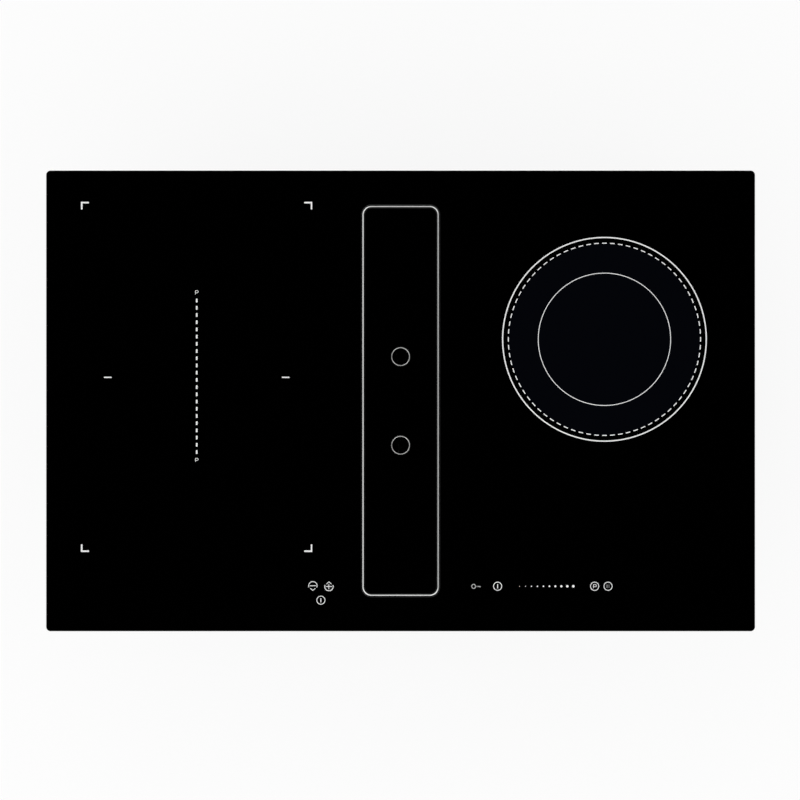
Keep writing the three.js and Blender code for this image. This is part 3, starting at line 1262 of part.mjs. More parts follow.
function terminalBox() {
  const shell = prism(
    roundedRect(TERMINAL_W, TERMINAL_D, TERMINAL_CORNER, 0, 0, 3), TERMINAL_Z, TRAY_Z);
  const square = prism(
    rectangle(TERMINAL_W, TERMINAL_D / 2, 0, TERMINAL_D / 4), TERMINAL_Z, TRAY_Z);
  const inside = prism(
    rectangle(
      TERMINAL_W - 2 * TERMINAL_WALL, TERMINAL_D - TERMINAL_WALL + CUT,
      0, (TERMINAL_WALL + CUT) / 2),
    TERMINAL_Z + TERMINAL_WALL, TRAY_Z - TERMINAL_WALL);
  const glandHole = prismX(
    circle(GLAND_THREAD_R + TURN_GAP, 0, TERMINAL_MID_Z, 20),
    -TERMINAL_W / 2 - CUT, -TERMINAL_W / 2 + TERMINAL_WALL + CUT);
  const earDepth = TURN_GAP + LID_KNUCKLE_R + LID_PIN_R;
  const earH = LID_HINGE_Z + LID_PIN_R;
  const ears = [-1, 1].map((side) => prismX(
    rectangle(
      earDepth + SINK, earH, TERMINAL_D / 2 + (earDepth - SINK) / 2, TRAY_Z - earH / 2),
    side * LID_EAR_X - LID_EAR_T / 2, side * LID_EAR_X + LID_EAR_T / 2));
  const pin = prismX(circle(LID_PIN_R, LID_PIN_Y, LID_PIN_Z, 12), -LID_EAR_X, LID_EAR_X);
  const box = cutAway(shell.add(square), [inside, glandHole]);
  return part('terminal_box', join([box, ...ears, pin]), blackPlastic);
}

// Cap-shaped lid, heavy beyond its pin so that it hangs shut
function terminalLid() {
  const face = TERMINAL_D / 2 + TURN_GAP;
  const bottom = TERMINAL_Z + TURN_GAP;
  const top = LID_PIN_Z - LID_PIN_R - EASY_GAP;
  const middle = (top + bottom) / 2;
  const cap = prismY(rectangle(TERMINAL_W, top - bottom, 0, middle), face, face + LID_DEPTH);
  const hollow = prismY(
    rectangle(TERMINAL_W - 2 * TERMINAL_WALL, top - bottom - 2 * TERMINAL_WALL, 0, middle),
    face - CUT, face + LID_DEPTH - TERMINAL_WALL);
  const knuckles = [-1, 1].flatMap((side) => {
    const x0 = side * LID_KNUCKLE_X - LID_KNUCKLE_L / 2;
    const web = rectangle(
      2 * LID_KNUCKLE_R, LID_PIN_Z - top + SINK, LID_PIN_Y, (LID_PIN_Z + top - SINK) / 2);
    return [
      prismX(circle(LID_KNUCKLE_R, LID_PIN_Y, LID_PIN_Z), x0, x0 + LID_KNUCKLE_L),
      prismX(web, x0, x0 + LID_KNUCKLE_L),
    ];
  });
  const bore = prismX(
    circle(LID_PIN_R + TURN_GAP, LID_PIN_Y, LID_PIN_Z, 12), -TERMINAL_W, TERMINAL_W);
  const lid = cutAway(join([cap, ...knuckles]), [hollow, bore]);
  return part('terminal_lid', lid, blackPlastic);
}

function terminalBlock() {
  const bottom = TERMINAL_Z + TERMINAL_WALL;
  const body = prism(rectangle(BLOCK_W, BLOCK_D), bottom, bottom + BLOCK_H);
  const pitch = BLOCK_W / BLOCK_POLES;
  const wells = Array.from({ length: BLOCK_POLES }, (_, i) =>
    prism(
      circle(BLOCK_SCREW_R, (i - (BLOCK_POLES - 1) / 2) * pitch, 0, 10),
      bottom + BLOCK_H / 2, bottom + BLOCK_H + CUT));
  return part('terminal_block', cutAway(body, wells), whitePlastic);
}

// Cable gland: hexagon collar and domed nut outside the box, threaded neck
// through its wall
function cableGland() {
  const face = GLAND_NUT_L;
  const crown = (GLAND_NUT_R + GLAND_BORE_R) / 2;
  const neck = revolve([
    [GLAND_BORE_R, -GLAND_REACH],
    [GLAND_THREAD_R, -GLAND_REACH],
    [GLAND_THREAD_R, face - GLAND_COLLAR_L],
    [crown, face],
    [GLAND_BORE_R, face],
  ], 12);
  const bore = prism(circle(GLAND_BORE_R + SINK, 0, 0, 12), -CUT, face);
  const collar = prism(circle(GLAND_NUT_R, 0, 0, 6), 0, GLAND_COLLAR_L);
  const nut = prism(
    circle(GLAND_NUT_R - SLIP_GAP, 0, 0, 6), GLAND_COLLAR_L + EASY_GAP, face - GLAND_COLLAR_L);
  const gland = join([neck, collar.subtract(bore), nut.subtract(bore)]);
  const mesh = part('cable_gland', gland, greyPlastic);
  mesh.rotation.y = -QUARTER;
  mesh.position.set(-TERMINAL_W / 2, 0, TERMINAL_MID_Z);
  return mesh;
}

function fanControlBox() {
  const right = -PLENUM_W / 2;
  const x = right - CONTROL_W / 2;
  const outline = (grow) => roundedRect(
    CONTROL_W + grow, CONTROL_D + 2 * grow, CONTROL_CORNER, x - grow / 2, 0, 3);
  const top = CONTROL_Z + CONTROL_H;
  const sockets = Array.from({ length: CONTROL_SOCKETS }, (_, i) => {
    const y = (i - (CONTROL_SOCKETS - 1) / 2) * CONTROL_SOCKET_PITCH;
    return prismX(
      rectangle(CONTROL_SOCKET_PITCH * 0.6, CONTROL_H / 5, y, CONTROL_Z + CONTROL_H / 3),
      right - CONTROL_W - CUT, right - CONTROL_W + CONTROL_W / 4);
  });
  const body = join([
    prism(outline(0), CONTROL_Z, top),
    prism(outline(CONTROL_LIP), top - CONTROL_LID_T, top),
  ]);
  return part('fan_control_box', cutAway(body, sockets), blackPlastic);
}

// ----------------------------------------------------------------- assembly

const cooktop = new THREE.Group();

cooktop.add(
  glassTop(), perimeterSeal(), glassFrame(), baseTray(),
  inletTrim(), coverGasket(), inletShaft(),
  coverGlass(), coverBacking(),
  fingerRing('finger_ring_front', -1), fingerRing('finger_ring_rear', 1),
  filterBasket(), filterMesh(), filterGrip(), dripTray(),
  plenumTub(), plenumLid(), fanControlBox(), touchCarrier());

cooktop.add(hobTouchBoard(), fanTouchBoard());

cooktop.add(groupAt(FAN_X, FAN_Y, [
  scrollLower(), scrollUpper(), inletHood(), impeller(), motorRotor(), motorStator(),
]));

const outlet = groupAt(DUCT_X, 0, [
  outletSpigot(), flapPin(),
  backdraftFlap('backdraft_flap_upper', 1), backdraftFlap('backdraft_flap_lower', -1),
]);
outlet.position.z = DUCT_Z;
cooktop.add(outlet);

for (const [end, side] of [['front', -1], ['rear', 1]]) {
  cooktop.add(groupAt(-ZONE_X, LEFT_ZONE_Y + side * LEFT_COIL_PITCH / 2, [
    obloidCarrier(`coil_carrier_left_${end}`), obloidWinding(`coil_winding_left_${end}`),
  ]));
}

cooktop.add(groupAt(ZONE_X, RIGHT_ZONE_Y, [
  roundCarrier('coil_carrier_right'),
  roundWinding(
    'coil_winding_right_outer', OUTER_WINDING_R, OUTER_WINDING_R - OUTER_WINDING_W),
  roundWinding('coil_winding_right_inner', INNER_WINDING_R, INNER_WINDING_EYE_R),
]));

const leftReach = (LEFT_COIL_PITCH + LEFT_COIL_D) / 2 + SHIELD_MARGIN;
const rightFront = RIGHT_COOLER_Y - COOLER_SIZE / 2 - SHIELD_MARGIN;
const rightRear = RIGHT_ZONE_Y + RIGHT_COIL_R + SHIELD_MARGIN;
cooktop.add(
  groupAt(-ZONE_X, 0, [
    coilShield('coil_shield_left', LEFT_ZONE_Y - leftReach, LEFT_ZONE_Y + leftReach)]),
  groupAt(ZONE_X, 0, [coilShield('coil_shield_right', rightFront, rightRear)]));

for (const [hand, x, y] of [['left', -ZONE_X, LEFT_COOLER_Y], ['right', ZONE_X, RIGHT_COOLER_Y]]) {
  cooktop.add(groupAt(x, y, [
    powerBoard(`power_board_${hand}`), heatSink(`heat_sink_${hand}`),
    coolerFrame(`cooling_fan_frame_${hand}`), coolerWheel(`cooling_fan_wheel_${hand}`),
  ]));
}

cooktop.add(groupAt(TERMINAL_X, TERMINAL_Y, [
  terminalBox(), terminalLid(), terminalBlock(), cableGland(),
]));

for (const [end, sideY] of [['front', -1], ['rear', 1]]) {
  for (const [hand, sideX] of [['left', -1], ['right', 1]]) {
    cooktop.add(clamp(`${hand}_${end}`, sideX * CLAMP_X, sideY * CLAMP_Y, -sideY));
  }
}

export default cooktop;
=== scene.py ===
"""Downdraft induction cooktop: finishes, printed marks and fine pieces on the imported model."""
import json
import math

import bmesh
import bpy
from mathutils import Matrix, Vector

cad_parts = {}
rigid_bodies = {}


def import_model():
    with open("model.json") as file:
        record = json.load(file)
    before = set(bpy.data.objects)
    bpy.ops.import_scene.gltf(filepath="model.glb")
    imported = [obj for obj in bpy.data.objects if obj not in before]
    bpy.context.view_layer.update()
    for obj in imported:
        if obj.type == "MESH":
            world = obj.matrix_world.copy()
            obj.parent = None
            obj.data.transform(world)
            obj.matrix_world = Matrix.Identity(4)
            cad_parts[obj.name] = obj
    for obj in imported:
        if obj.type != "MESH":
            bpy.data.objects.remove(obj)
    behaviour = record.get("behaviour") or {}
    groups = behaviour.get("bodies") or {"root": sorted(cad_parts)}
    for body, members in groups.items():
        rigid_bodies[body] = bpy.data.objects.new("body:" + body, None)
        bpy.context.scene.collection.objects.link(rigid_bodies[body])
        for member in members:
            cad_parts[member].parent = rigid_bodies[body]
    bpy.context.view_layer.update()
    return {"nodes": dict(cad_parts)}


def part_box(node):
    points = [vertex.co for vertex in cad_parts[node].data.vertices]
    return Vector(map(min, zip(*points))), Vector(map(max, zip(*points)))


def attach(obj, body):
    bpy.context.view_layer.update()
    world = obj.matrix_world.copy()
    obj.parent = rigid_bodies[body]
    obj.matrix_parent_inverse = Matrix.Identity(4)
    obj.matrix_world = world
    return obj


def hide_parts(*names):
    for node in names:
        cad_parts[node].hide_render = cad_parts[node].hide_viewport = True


MM = 0.001

for thing in list(bpy.data.objects):
    bpy.data.objects.remove(thing)

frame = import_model()
nodes = frame["nodes"]

# Heights, sizes as width, depth and corner radius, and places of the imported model, in mm.
GLASS_Z, TOP_Z = 212, 216
GLASS_TOP = 215.96            # the print stands 0.04 proud of it
PRINT_LOW = 215.93
GLASS = (800, 520, 5)
OPENING = (88, 442, 11)
TRIM = (87, 441, 10.5)
COVER = (81.4, 435.4, 7.7)
GASKET = (81.4, 435.4, 6.5)
SEAL = (794, 514, 5)
OBLONG_COIL = (217, 177, 50)
FINGER_Y = 50
ZONE = (230, 69.5)
COIL_Z = 203
BLOWER = (200, -40)
# The scroll's outlet duct, seen from the blower's axis.
DUCT_RIGHT, DUCT_LEFT, TONGUE = Vector((158.5, 245)), Vector((-58.5, 245)), Vector((56.2, 80.3))


# -------- finishes

class Tree:
    """A node tree filled from empty. An input is a value, a colour of three or another output."""

    def __init__(self, tree):
        self.tree = tree
        tree.nodes.clear()

    def node(self, kind, inputs, **settings):
        node = self.tree.nodes.new(kind)
        for key, value in settings.items():
            setattr(node, key, value)
        for key, value in inputs.items():
            socket = node.inputs[key]
            if isinstance(value, bpy.types.NodeSocket):
                self.tree.links.new(value, socket)
            else:
                socket.default_value = (*value, 1) if socket.type == "RGBA" else value
        return node

    def add(self, kind, inputs, output=0, **settings):
        """Adds a node and gives one of its outputs."""
        return self.node(kind, inputs, **settings).outputs[output]

    def math(self, operation, *values):
        return self.add("ShaderNodeMath", dict(enumerate(values)), operation=operation)

    def vector(self, operation, *values, output="Vector"):
        return self.add(
            "ShaderNodeVectorMath", dict(enumerate(values)), output, operation=operation)

    def blend(self, first, second, share):
        """Sum of two values, of which the first one makes up a share."""
        return self.math("ADD", self.math("MULTIPLY", first, share),
                         self.math("MULTIPLY", second, 1 - share))

    def where(self, kind="Object"):
        return self.add("ShaderNodeTexCoord", {}, kind)

    def axis(self, vector, name):
        return self.add("ShaderNodeSeparateXYZ", {"Vector": vector}, name)

    def spread(self, value, low, high, from_low=0.3, from_high=0.7):
        """Stretches a range of the value over another range."""
        return self.add("ShaderNodeMapRange", {
            "Value": value, "From Min": from_low, "From Max": from_high,
            "To Min": low, "To Max": high})

    def ramp(self, value, *stops):
        """Colours along a value, as (position, colour) stops in rising order."""
        node = self.node("ShaderNodeValToRGB", {"Fac": value})
        elements = node.color_ramp.elements
        elements[0].position, elements[1].position = stops[0][0], stops[-1][0]
        for position, _ in stops[1:-1]:
            elements.new(position)
        for element, (_, color) in zip(elements, stops):
            element.color = (*color, 1)
        return node.outputs["Color"]

    def mixed(self, factor, first, second):
        inputs = {0: factor, 6: first, 7: second}
        return self.add("ShaderNodeMix", inputs, 2, data_type="RGBA")

    def rays(self, *kinds):
        """1 for any of the named kinds of ray, 0 for the others."""
        path = self.node("ShaderNodeLightPath", {})
        value = path.outputs[kinds[0]]
        for kind in kinds[1:]:
            value = self.math("MAXIMUM", value, path.outputs[kind])
        return value


class Finish(Tree):
    """One procedural material. Object coordinates are in metres, so scales are per metre."""

    def __init__(self, name):
        self.material = bpy.data.materials.new(name)
        self.material.use_nodes = True
        super().__init__(self.material.node_tree)

    def place(self, scale=(1, 1, 1)):
        return self.add("ShaderNodeMapping", {"Vector": self.where(), "Scale": scale})

    def noise(self, scale, detail=3, roughness=0.5, stretch=(1, 1, 1), output=0):
        return self.add("ShaderNodeTexNoise", {
            "Vector": self.place(stretch), "Scale": scale, "Detail": detail,
            "Roughness": roughness}, output)

    def cells(self, vector, scale, output="Distance", **settings):
        inputs = {"Vector": vector, "Scale": scale}
        return self.add("ShaderNodeTexVoronoi", inputs, output, **settings)

    def tones(self, value, dark, light, low=0.35, high=0.65):
        return self.ramp(value, (low, dark), (high, light))

    def bump(self, height, distance, strength):
        return self.add("ShaderNodeBump", {
            "Height": height, "Distance": distance, "Strength": strength})

    def done(self, **sockets):
        shader = self.add("ShaderNodeBsdfPrincipled", {
            key.replace("_", " "): value for key, value in sockets.items()})
        self.node("ShaderNodeOutputMaterial", {"Surface": shader})
        return self.material


def black_glass():
    """Nearly black; the round zone's heating area is a trace lighter and bluer."""
    f = Finish("black_glass")
    middle = (ZONE[0] * MM, ZONE[1] * MM, TOP_Z * MM)
    distance = f.vector("DISTANCE", f.place(), middle, output="Value")
    heated = f.spread(distance, 1, 0, 0.1079, 0.1085)
    smears = f.noise(7, 2)
    return f.done(
        Base_Color=f.mixed(heated, (0.0001, 0.0001, 0.0001), (0.0014, 0.0017, 0.0030)),
        Roughness=f.spread(smears, 0.018, 0.045))


def grained(name, scale, dark, light, rough, relief, strength=0.3, detail=3, **sockets):
    """A finish whose tone, dullness and relief follow one fine grain."""
    f = Finish(name)
    grain = f.noise(scale, detail)
    return f.done(
        Base_Color=f.tones(grain, dark, light), Roughness=f.spread(grain, *rough),
        Normal=f.bump(grain, relief, strength), **sockets)


def ground_glass():
    """The ground and polished edge of a glass plate."""
    return grained("ground_glass", 2600, (0.0016, 0.0017, 0.0018), (0.004, 0.0042, 0.0044),
                   (0.12, 0.24), 0.00002, detail=2)


def ink(name, level):
    """Fired ceramic print: slightly grainy, duller than the glass."""
    return grained(name, 2200, (level * 0.95,) * 3, (level,) * 3, (0.38, 0.52), 0.00001)


def screw_steel(name, tone, tint):
    high = [tone * t for t in tint]
    low = [0.8 * t for t in high]
    return grained(name, 1300, low, high, (0.26, 0.42), 0.00002, Metallic=1)


def brushed_steel(name, streaks, tone=0.62, rough=(0.26, 0.40), depth=0.16, anisotropic=0.35):
    """Brushed stainless steel; streaks is the scale across and along the grain."""
    f = Finish(name)
    fine = f.noise(1, 4, 0.65, streaks)
    value = f.blend(fine, f.noise(14), 0.75)
    low = tone * (1 - depth)
    return f.done(
        Base_Color=f.tones(value, (low, low, low * 0.99), (tone, tone, tone * 0.985), 0.38, 0.6),
        Roughness=f.spread(value, *rough), Normal=f.bump(fine, 0.00003, 0.35),
        Metallic=1, Anisotropic=anisotropic)


def zinc_sheet():
    """Galvanised sheet: large spangles, each with its own tone and dullness."""
    f = Finish("zinc_sheet")
    warp = f.vector("MULTIPLY", f.noise(60, 2, output="Color"), (0.006, 0.006, 0.006))
    spangles = f.cells(f.vector("ADD", f.place(), warp), 140, "Color")
    tone = f.add("ShaderNodeSeparateColor", {"Color": spangles}, "Red")
    value = f.blend(tone, f.noise(900), 0.8)
    return f.done(
        Base_Color=f.tones(value, (0.53, 0.55, 0.57), (0.61, 0.63, 0.65), 0.05, 0.95),
        Roughness=f.spread(tone, 0.38, 0.44, 0, 1), Normal=f.bump(tone, 0.00002, 0.15),
        Metallic=1)


def aluminium():
    """Extruded and rolled metal, drawn along X."""
    f = Finish("aluminium")
    lines = f.noise(1, stretch=(35, 1600, 1600))
    return f.done(
        Base_Color=f.tones(f.noise(25), (0.68, 0.69, 0.70), (0.80, 0.81, 0.82)),
        Roughness=f.spread(lines, 0.30, 0.46), Normal=f.bump(lines, 0.00002, 0.3), Metallic=1)


def mesh_core_strands_and_painted_shade():
    """The deeper layers of the expanded mesh: strands in the metal's tone, with painted shade in
    the gaps between them.
    """
    f = Finish("mesh_core_strands_and_painted_shade")
    cells = f.cells(f.place((1, 0.7, 1)), 330, feature="DISTANCE_TO_EDGE")
    strands = f.spread(cells, 1, 0, 0.02, 0.14)
    # painted shade: the gaps between the strands are near black, the strands a pale metal
    return f.done(
        Base_Color=f.tones(strands, (0.03, 0.03, 0.032), (0.42, 0.43, 0.44), 0.2, 0.8),
        Roughness=f.spread(strands, 0.7, 0.42, 0, 1), Normal=f.bump(strands, 0.0006, 0.8),
        Metallic=1)


def copper():
    """Lacquered litz bundle: fine twisted strands."""
    f = Finish("copper")
    strands = f.noise(1500, 3, 0.6)
    value = f.blend(strands, f.noise(160, 2), 0.7)
    return f.done(
        Base_Color=f.tones(value, (0.34, 0.12, 0.045), (0.66, 0.29, 0.13), 0.36, 0.64),
        Roughness=f.spread(strands, 0.34, 0.55), Normal=f.bump(strands, 0.0001, 0.5),
        Metallic=0.85, Coat_Weight=0.35, Coat_Roughness=0.3)


def foam():
    """Closed-cell foam with open pores at its cut faces; the pores are also painted darker, as
    their shade.
    """
    f = Finish("foam")
    pores_and_painted_shade = f.cells(f.place(), 1500)
    value = f.blend(pores_and_painted_shade, f.noise(60, 2), 0.7)
    # painted shade: the pits of the pores are darker, mixed with a random tone
    return f.done(
        Base_Color=f.tones(value, (0.008, 0.008, 0.009), (0.028, 0.028, 0.030), 0.25, 0.65),
        Roughness=f.spread(pores_and_painted_shade, 0.95, 0.8, 0.1, 0.7), Normal=f.bump(pores_and_painted_shade, 0.00025, 0.7))


def plastic(name, dark, light, rough):
    """Moulded plastic with spark-eroded grain, rubbed a little smoother in patches."""
    f = Finish(name)
    grain, cloud = f.noise(1500, 4, 0.6), f.noise(18)
    return f.done(
        Base_Color=f.tones(f.blend(grain, cloud, 0.4), dark, light, 0.38, 0.62),
        Roughness=f.math("ADD", f.spread(grain, *rough), f.spread(cloud, -0.05, 0.05)),
        Normal=f.bump(grain, 0.00005, 0.45))


def coil_plastic():
    """Heat-proof carrier; the ferrite bars cast under it are dark."""
    f = Finish("coil_plastic")
    grain = f.noise(1100, 4)
    ferrite = f.spread(f.axis(f.place(), "Z"), 1, 0, 0.19895, 0.19900)
    tan = f.tones(grain, (0.46, 0.41, 0.33), (0.58, 0.53, 0.44))
    dark = f.tones(grain, (0.035, 0.035, 0.037), (0.07, 0.07, 0.072))
    return f.done(
        Base_Color=f.mixed(ferrite, tan, dark), Roughness=f.spread(grain, 0.5, 0.65),
        Normal=f.bump(grain, 0.00006, 0.4))


def circuit_board(name, top, raised_dark, raised_light):
    """Green solder mask over copper tracks; what stands on the board has its own colour."""
    f = Finish(name)
    blocks = f.cells(f.place(), 230, distance="CHEBYCHEV", feature="F1")
    tracks = f.spread(f.math("PINGPONG", blocks, 0.13), 0, 1, 0.045, 0.06)
    mask = f.tones(tracks, (0.010, 0.075, 0.028), (0.022, 0.16, 0.062), 0.2, 0.8)
    grain = f.noise(900)
    raised = f.spread(f.axis(f.place(), "Z"), 0, 1, top * MM, top * MM + 0.0001)
    return f.done(
        Base_Color=f.mixed(raised, mask, f.tones(grain, raised_dark, raised_light)),
        Roughness=f.spread(grain, 0.28, 0.42), Normal=f.bump(tracks, 0.00004, 0.5))


def motor_steel():
    """Painted sheet steel of the motor."""
    f = Finish("motor_steel")
    grain = f.noise(1200)
    return f.done(
        Base_Color=f.tones(f.noise(40), (0.095, 0.10, 0.105), (0.15, 0.155, 0.16)),
        Roughness=f.spread(grain, 0.34, 0.5), Normal=f.bump(grain, 0.00003, 0.4), Metallic=0.75)


# One finish for each slot of the CAD.
finishes = {
    "black_glass": black_glass(),
    "stainless": brushed_steel("stainless", (1800, 45, 1800)),
    "zinc_sheet": zinc_sheet(),
    "aluminium": aluminium(),
    "mesh_aluminium": grained(
        "mesh_aluminium", 700, (0.52, 0.53, 0.54), (0.74, 0.75, 0.76), (0.28, 0.5),
        0.00006, 0.4, Metallic=1),
    "copper": copper(),
    "foam": foam(),
    "silicone": grained(
        "silicone", 1600, (0.010, 0.010, 0.011), (0.019, 0.019, 0.020), (0.42, 0.58),
        0.00003, 0.4),
    "black_plastic": plastic(
        "black_plastic", (0.014, 0.0145, 0.0155), (0.024, 0.0245, 0.026), (0.42, 0.58)),
    "grey_plastic": plastic(
        "grey_plastic", (0.13, 0.14, 0.15), (0.17, 0.18, 0.19), (0.40, 0.55)),
    "white_plastic": plastic(
        "white_plastic", (0.64, 0.64, 0.62), (0.72, 0.72, 0.70), (0.38, 0.5)),
    "coil_plastic": coil_plastic(),
    "motor_steel": motor_steel(),
}
ground_edge = ground_glass()
ink_white = ink("ink_white", 0.92)
ink_control = ink("ink_control", 0.83)
ink_grey = ink("ink_grey", 0.46)
ink_faint = ink("ink_faint", 0.13)
trim_steel = brushed_steel("trim_steel", (1500, 60, 1500), 0.78, (0.18, 0.24), 0.06, 0)
ring_steel = brushed_steel("ring_steel", (500, 500, 2000), 0.575, (0.18, 0.24), 0.08, 0)
# this finish paints shade into the gaps of the filter's mesh core
core_mesh_strands_and_painted_shade = mesh_core_strands_and_painted_shade()
zinc_screw = screw_steel("zinc_screw", 0.66, (1, 1, 0.98))
black_screw = screw_steel("black_screw", 0.09, (1, 1, 1.03))
brass_metal = grained(
    "brass", 800, (0.58, 0.42, 0.18), (0.74, 0.57, 0.27), (0.24, 0.4), 0.00002, Metallic=1)
power_green = circuit_board("power_board", 158.65, (0.02, 0.022, 0.03), (0.05, 0.055, 0.07))
touch_green = circuit_board("touch_board", 209.05, (0.55, 0.55, 0.53), (0.66, 0.66, 0.64))


# -------- outlines, in mm

def polar(radius, degrees, x=0, y=0):
    """The point at a distance and an angle from x, y."""
    angle = math.radians(degrees)
    return x + radius * math.cos(angle), y + radius * math.sin(angle)


def arc(x, y, radius, start, end, steps):
    """Points from one angle to another, in degrees."""
    return [polar(radius, start + (end - start) * i / steps, x, y) for i in range(steps + 1)]


def circle(radius, x=0, y=0, steps=96):
    return arc(x, y, radius, 0, 360, steps)[:-1]


def rounded_rect(width, depth, radius, x=0, y=0, steps=10):
    """Points of a rounded rectangle, counter-clockwise."""
    points = []
    for side_x, side_y, start in ((1, 1, 0), (-1, 1, 90), (-1, -1, 180), (1, -1, 270)):
        corner_x = x + side_x * (width / 2 - radius)
        corner_y = y + side_y * (depth / 2 - radius)
        points += arc(corner_x, corner_y, radius, start, start + 90, steps)
    return points


def outline(width, depth, radius, hole=False, bend=1, **place):
    """A boundary that draws in by its inset, or widens round a hole; bend is the share of the
    inset by which its corner radius changes."""
    grow = 1 if hole else -1
    return lambda inset: rounded_rect(
        width + 2 * grow * inset, depth + 2 * grow * inset, radius + grow * bend * inset, **place)


def round_outline(radius, y=0, steps=96, hole=False):
    """A round boundary that draws in by its inset, or widens as a hole."""
    grow = 1 if hole else -1
    return lambda inset: circle(radius + grow * inset, 0, y, steps)


def left_of(start, end):
    """Unit vector to the left of the way from start to end."""
    along = (end - start).normalized()
    return Vector((-along.y, along.x))


# -------- mesh helpers

def linked(name, data):
    thing = bpy.data.objects.new(name, data)
    bpy.context.scene.collection.objects.link(thing)
    return thing


def linked_mesh(name, bm, finish):
    mesh = bpy.data.meshes.new(name)
    bm.to_mesh(mesh)
    bm.free()
    mesh.materials.append(finish)
    return linked(name, mesh)


def finished(name, bm, slot, finish=None, body="chassis", smooth=20):
    """Turns a bmesh in mm into a piece that rides on a body; smooth is in degrees."""
    bmesh.ops.recalc_face_normals(bm, faces=bm.faces)
    bmesh.ops.scale(bm, vec=(MM, MM, MM), verts=bm.verts)
    piece = linked_mesh(name, bm, finish or finishes[slot])
    piece.data.shade_smooth()
    piece.data.set_sharp_from_angle(angle=math.radians(smooth))
    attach(piece, body)
    return piece


def skin(bm, rings, closed=False, capped=False):
    """Quads between closed rings of vertices: a path that is closed itself, or capped, or open."""
    for low, high in zip(rings, rings[1:] + rings[:1] if closed else rings[1:]):
        for i in range(len(low)):
            j = (i + 1) % len(low)
            bm.faces.new((low[i], low[j], high[j], high[i]))
    if capped:
        bm.faces.new(rings[0])
        bm.faces.new(rings[-1])


def fill(bm, loops):
    """Closes the flat area between vertex loops."""
    edges = []
    for loop in loops:
        edges += [bm.edges.get(pair) for pair in zip(loop, loop[1:] + loop[:1])]
    bmesh.ops.triangle_fill(bm, use_beauty=True, edges=edges)


def layers(bm, boundary, section):
    """A ring of vertices for each (inset, z) of a section."""
    return [[bm.verts.new((x, y, z)) for x, y in boundary(inset)] for inset, z in section]


def add_plate(bm, boundaries, profile):
    """A plate with holes; profile is (inset, z) from the bottom up, shared by all its edges."""
    edges = [layers(bm, boundary, profile) for boundary in boundaries]
    for rings in edges:
        skin(bm, rings)
    for end in (0, -1):
        fill(bm, [rings[end] for rings in edges])


def add_flat(bm, *outlines):
    """A printed shape, the first outline less the others."""
    boundaries = [lambda inset, points=points: points for points in outlines]
    add_plate(bm, boundaries, [(0, PRINT_LOW), (0, TOP_Z)])


def add_band(bm, outer, inner, low=PRINT_LOW, high=TOP_Z, closed=True):
    """A flat band between two lines of as many points."""
    rings = []
    for a, b in zip(outer, inner):
        rings.append([bm.verts.new((*p, z)) for p, z in ((a, low), (a, high), (b, high), (b, low))])
    skin(bm, rings, closed, capped=not closed)


def add_hoop(bm, boundary, section):
    """A closed frame whose cross-section, (inset, z) points, runs along a boundary."""
    skin(bm, layers(bm, boundary, section), closed=True)


def add_lathe(bm, section, x, y):
    """A ring turned from a closed (radius, z) section."""
    add_hoop(bm, lambda radius: circle(radius, x, y), section)


def add_dome(bm, section, x=0, y=0, steps=32):
    """A solid turned from (radius, z) points, flat at both ends."""
    skin(bm, layers(bm, lambda radius: circle(radius, x, y, steps), section), capped=True)


def add_tube(bm, points, radius, sides):
    """A round tube along a line of points, with flat ends."""
    rings = []
    for point, before, after in zip(points, points[:1] + points, points[1:] + points[-1:]):
        along = (Vector(after) - Vector(before)).normalized()
        side = along.cross(Vector((0, 0, 1))).normalized()
        up = side.cross(along)
        rings.append([
            bm.verts.new(Vector(point) + radius * (math.cos(a) * side + math.sin(a) * up))
            for a in (2 * math.pi * k / sides for k in range(sides))])
    skin(bm, rings, capped=True)


def placed(bm, matrix, add_shape, *details, **options):
    """Adds a shape and moves only that shape by a matrix."""
    before = len(bm.verts)
    add_shape(bm, *details, **options)
    bmesh.ops.transform(bm, matrix=matrix, verts=bm.verts[before:])


def standing(x, y, z, facing):
    """Matrix for a shape drawn in the XY plane: its Z turns to facing, its Y to up."""
    out = Vector(facing).normalized()
    up = Vector((0, 0, 1)) if abs(out.z) < 0.9 else Vector((0, 1, 0))
    turn = Matrix((up.cross(out), up, out)).transposed().to_4x4()
    return Matrix.Translation((x, y, z)) @ turn


def recess(radius, slotted):
    """Outline of a screw's slot or cross, for a head of this radius."""
    if slotted:
        return [(s * 0.64 * radius, t * 0.12 * radius)
                for s, t in ((1, -1), (1, 1), (-1, 1), (-1, -1))]
    long, short = 0.52 * radius, 0.15 * radius
    points = []
    for c, s in ((1, 0), (0, 1), (-1, 0), (0, -1)):
        points += [(c * px - s * py, s * px + c * py)
                   for px, py in ((long, -short), (long, short), (short, short))]
    return points


def add_screw(bm, where, radius, height, slotted):
    """A pan-head screw on the XY plane of the matrix where."""
    def ring(points, z):
        return [bm.verts.new(where @ Vector((x, y, z))) for x, y in points]

    section = [(radius * 0.96, -0.3), (radius, 0.25 * height), (radius * 0.97, 0.6 * height),
               (radius * 0.86, 0.85 * height), (radius * 0.7, height)]
    rings = [ring(circle(r, steps=24), z) for r, z in section]
    skin(bm, rings)
    bm.faces.new(rings[0])
    mouth = recess(radius, slotted)
    walls = [ring(mouth, height), ring([(0.9 * x, 0.9 * y) for x, y in mouth], 0.35 * height)]
    skin(bm, walls)
    bm.faces.new(walls[1])
    fill(bm, [rings[-1], walls[0]])


# -------- CAD nodes kept

WELD = 0.000004               # joins the loose triangles of a CAD mesh, in metres


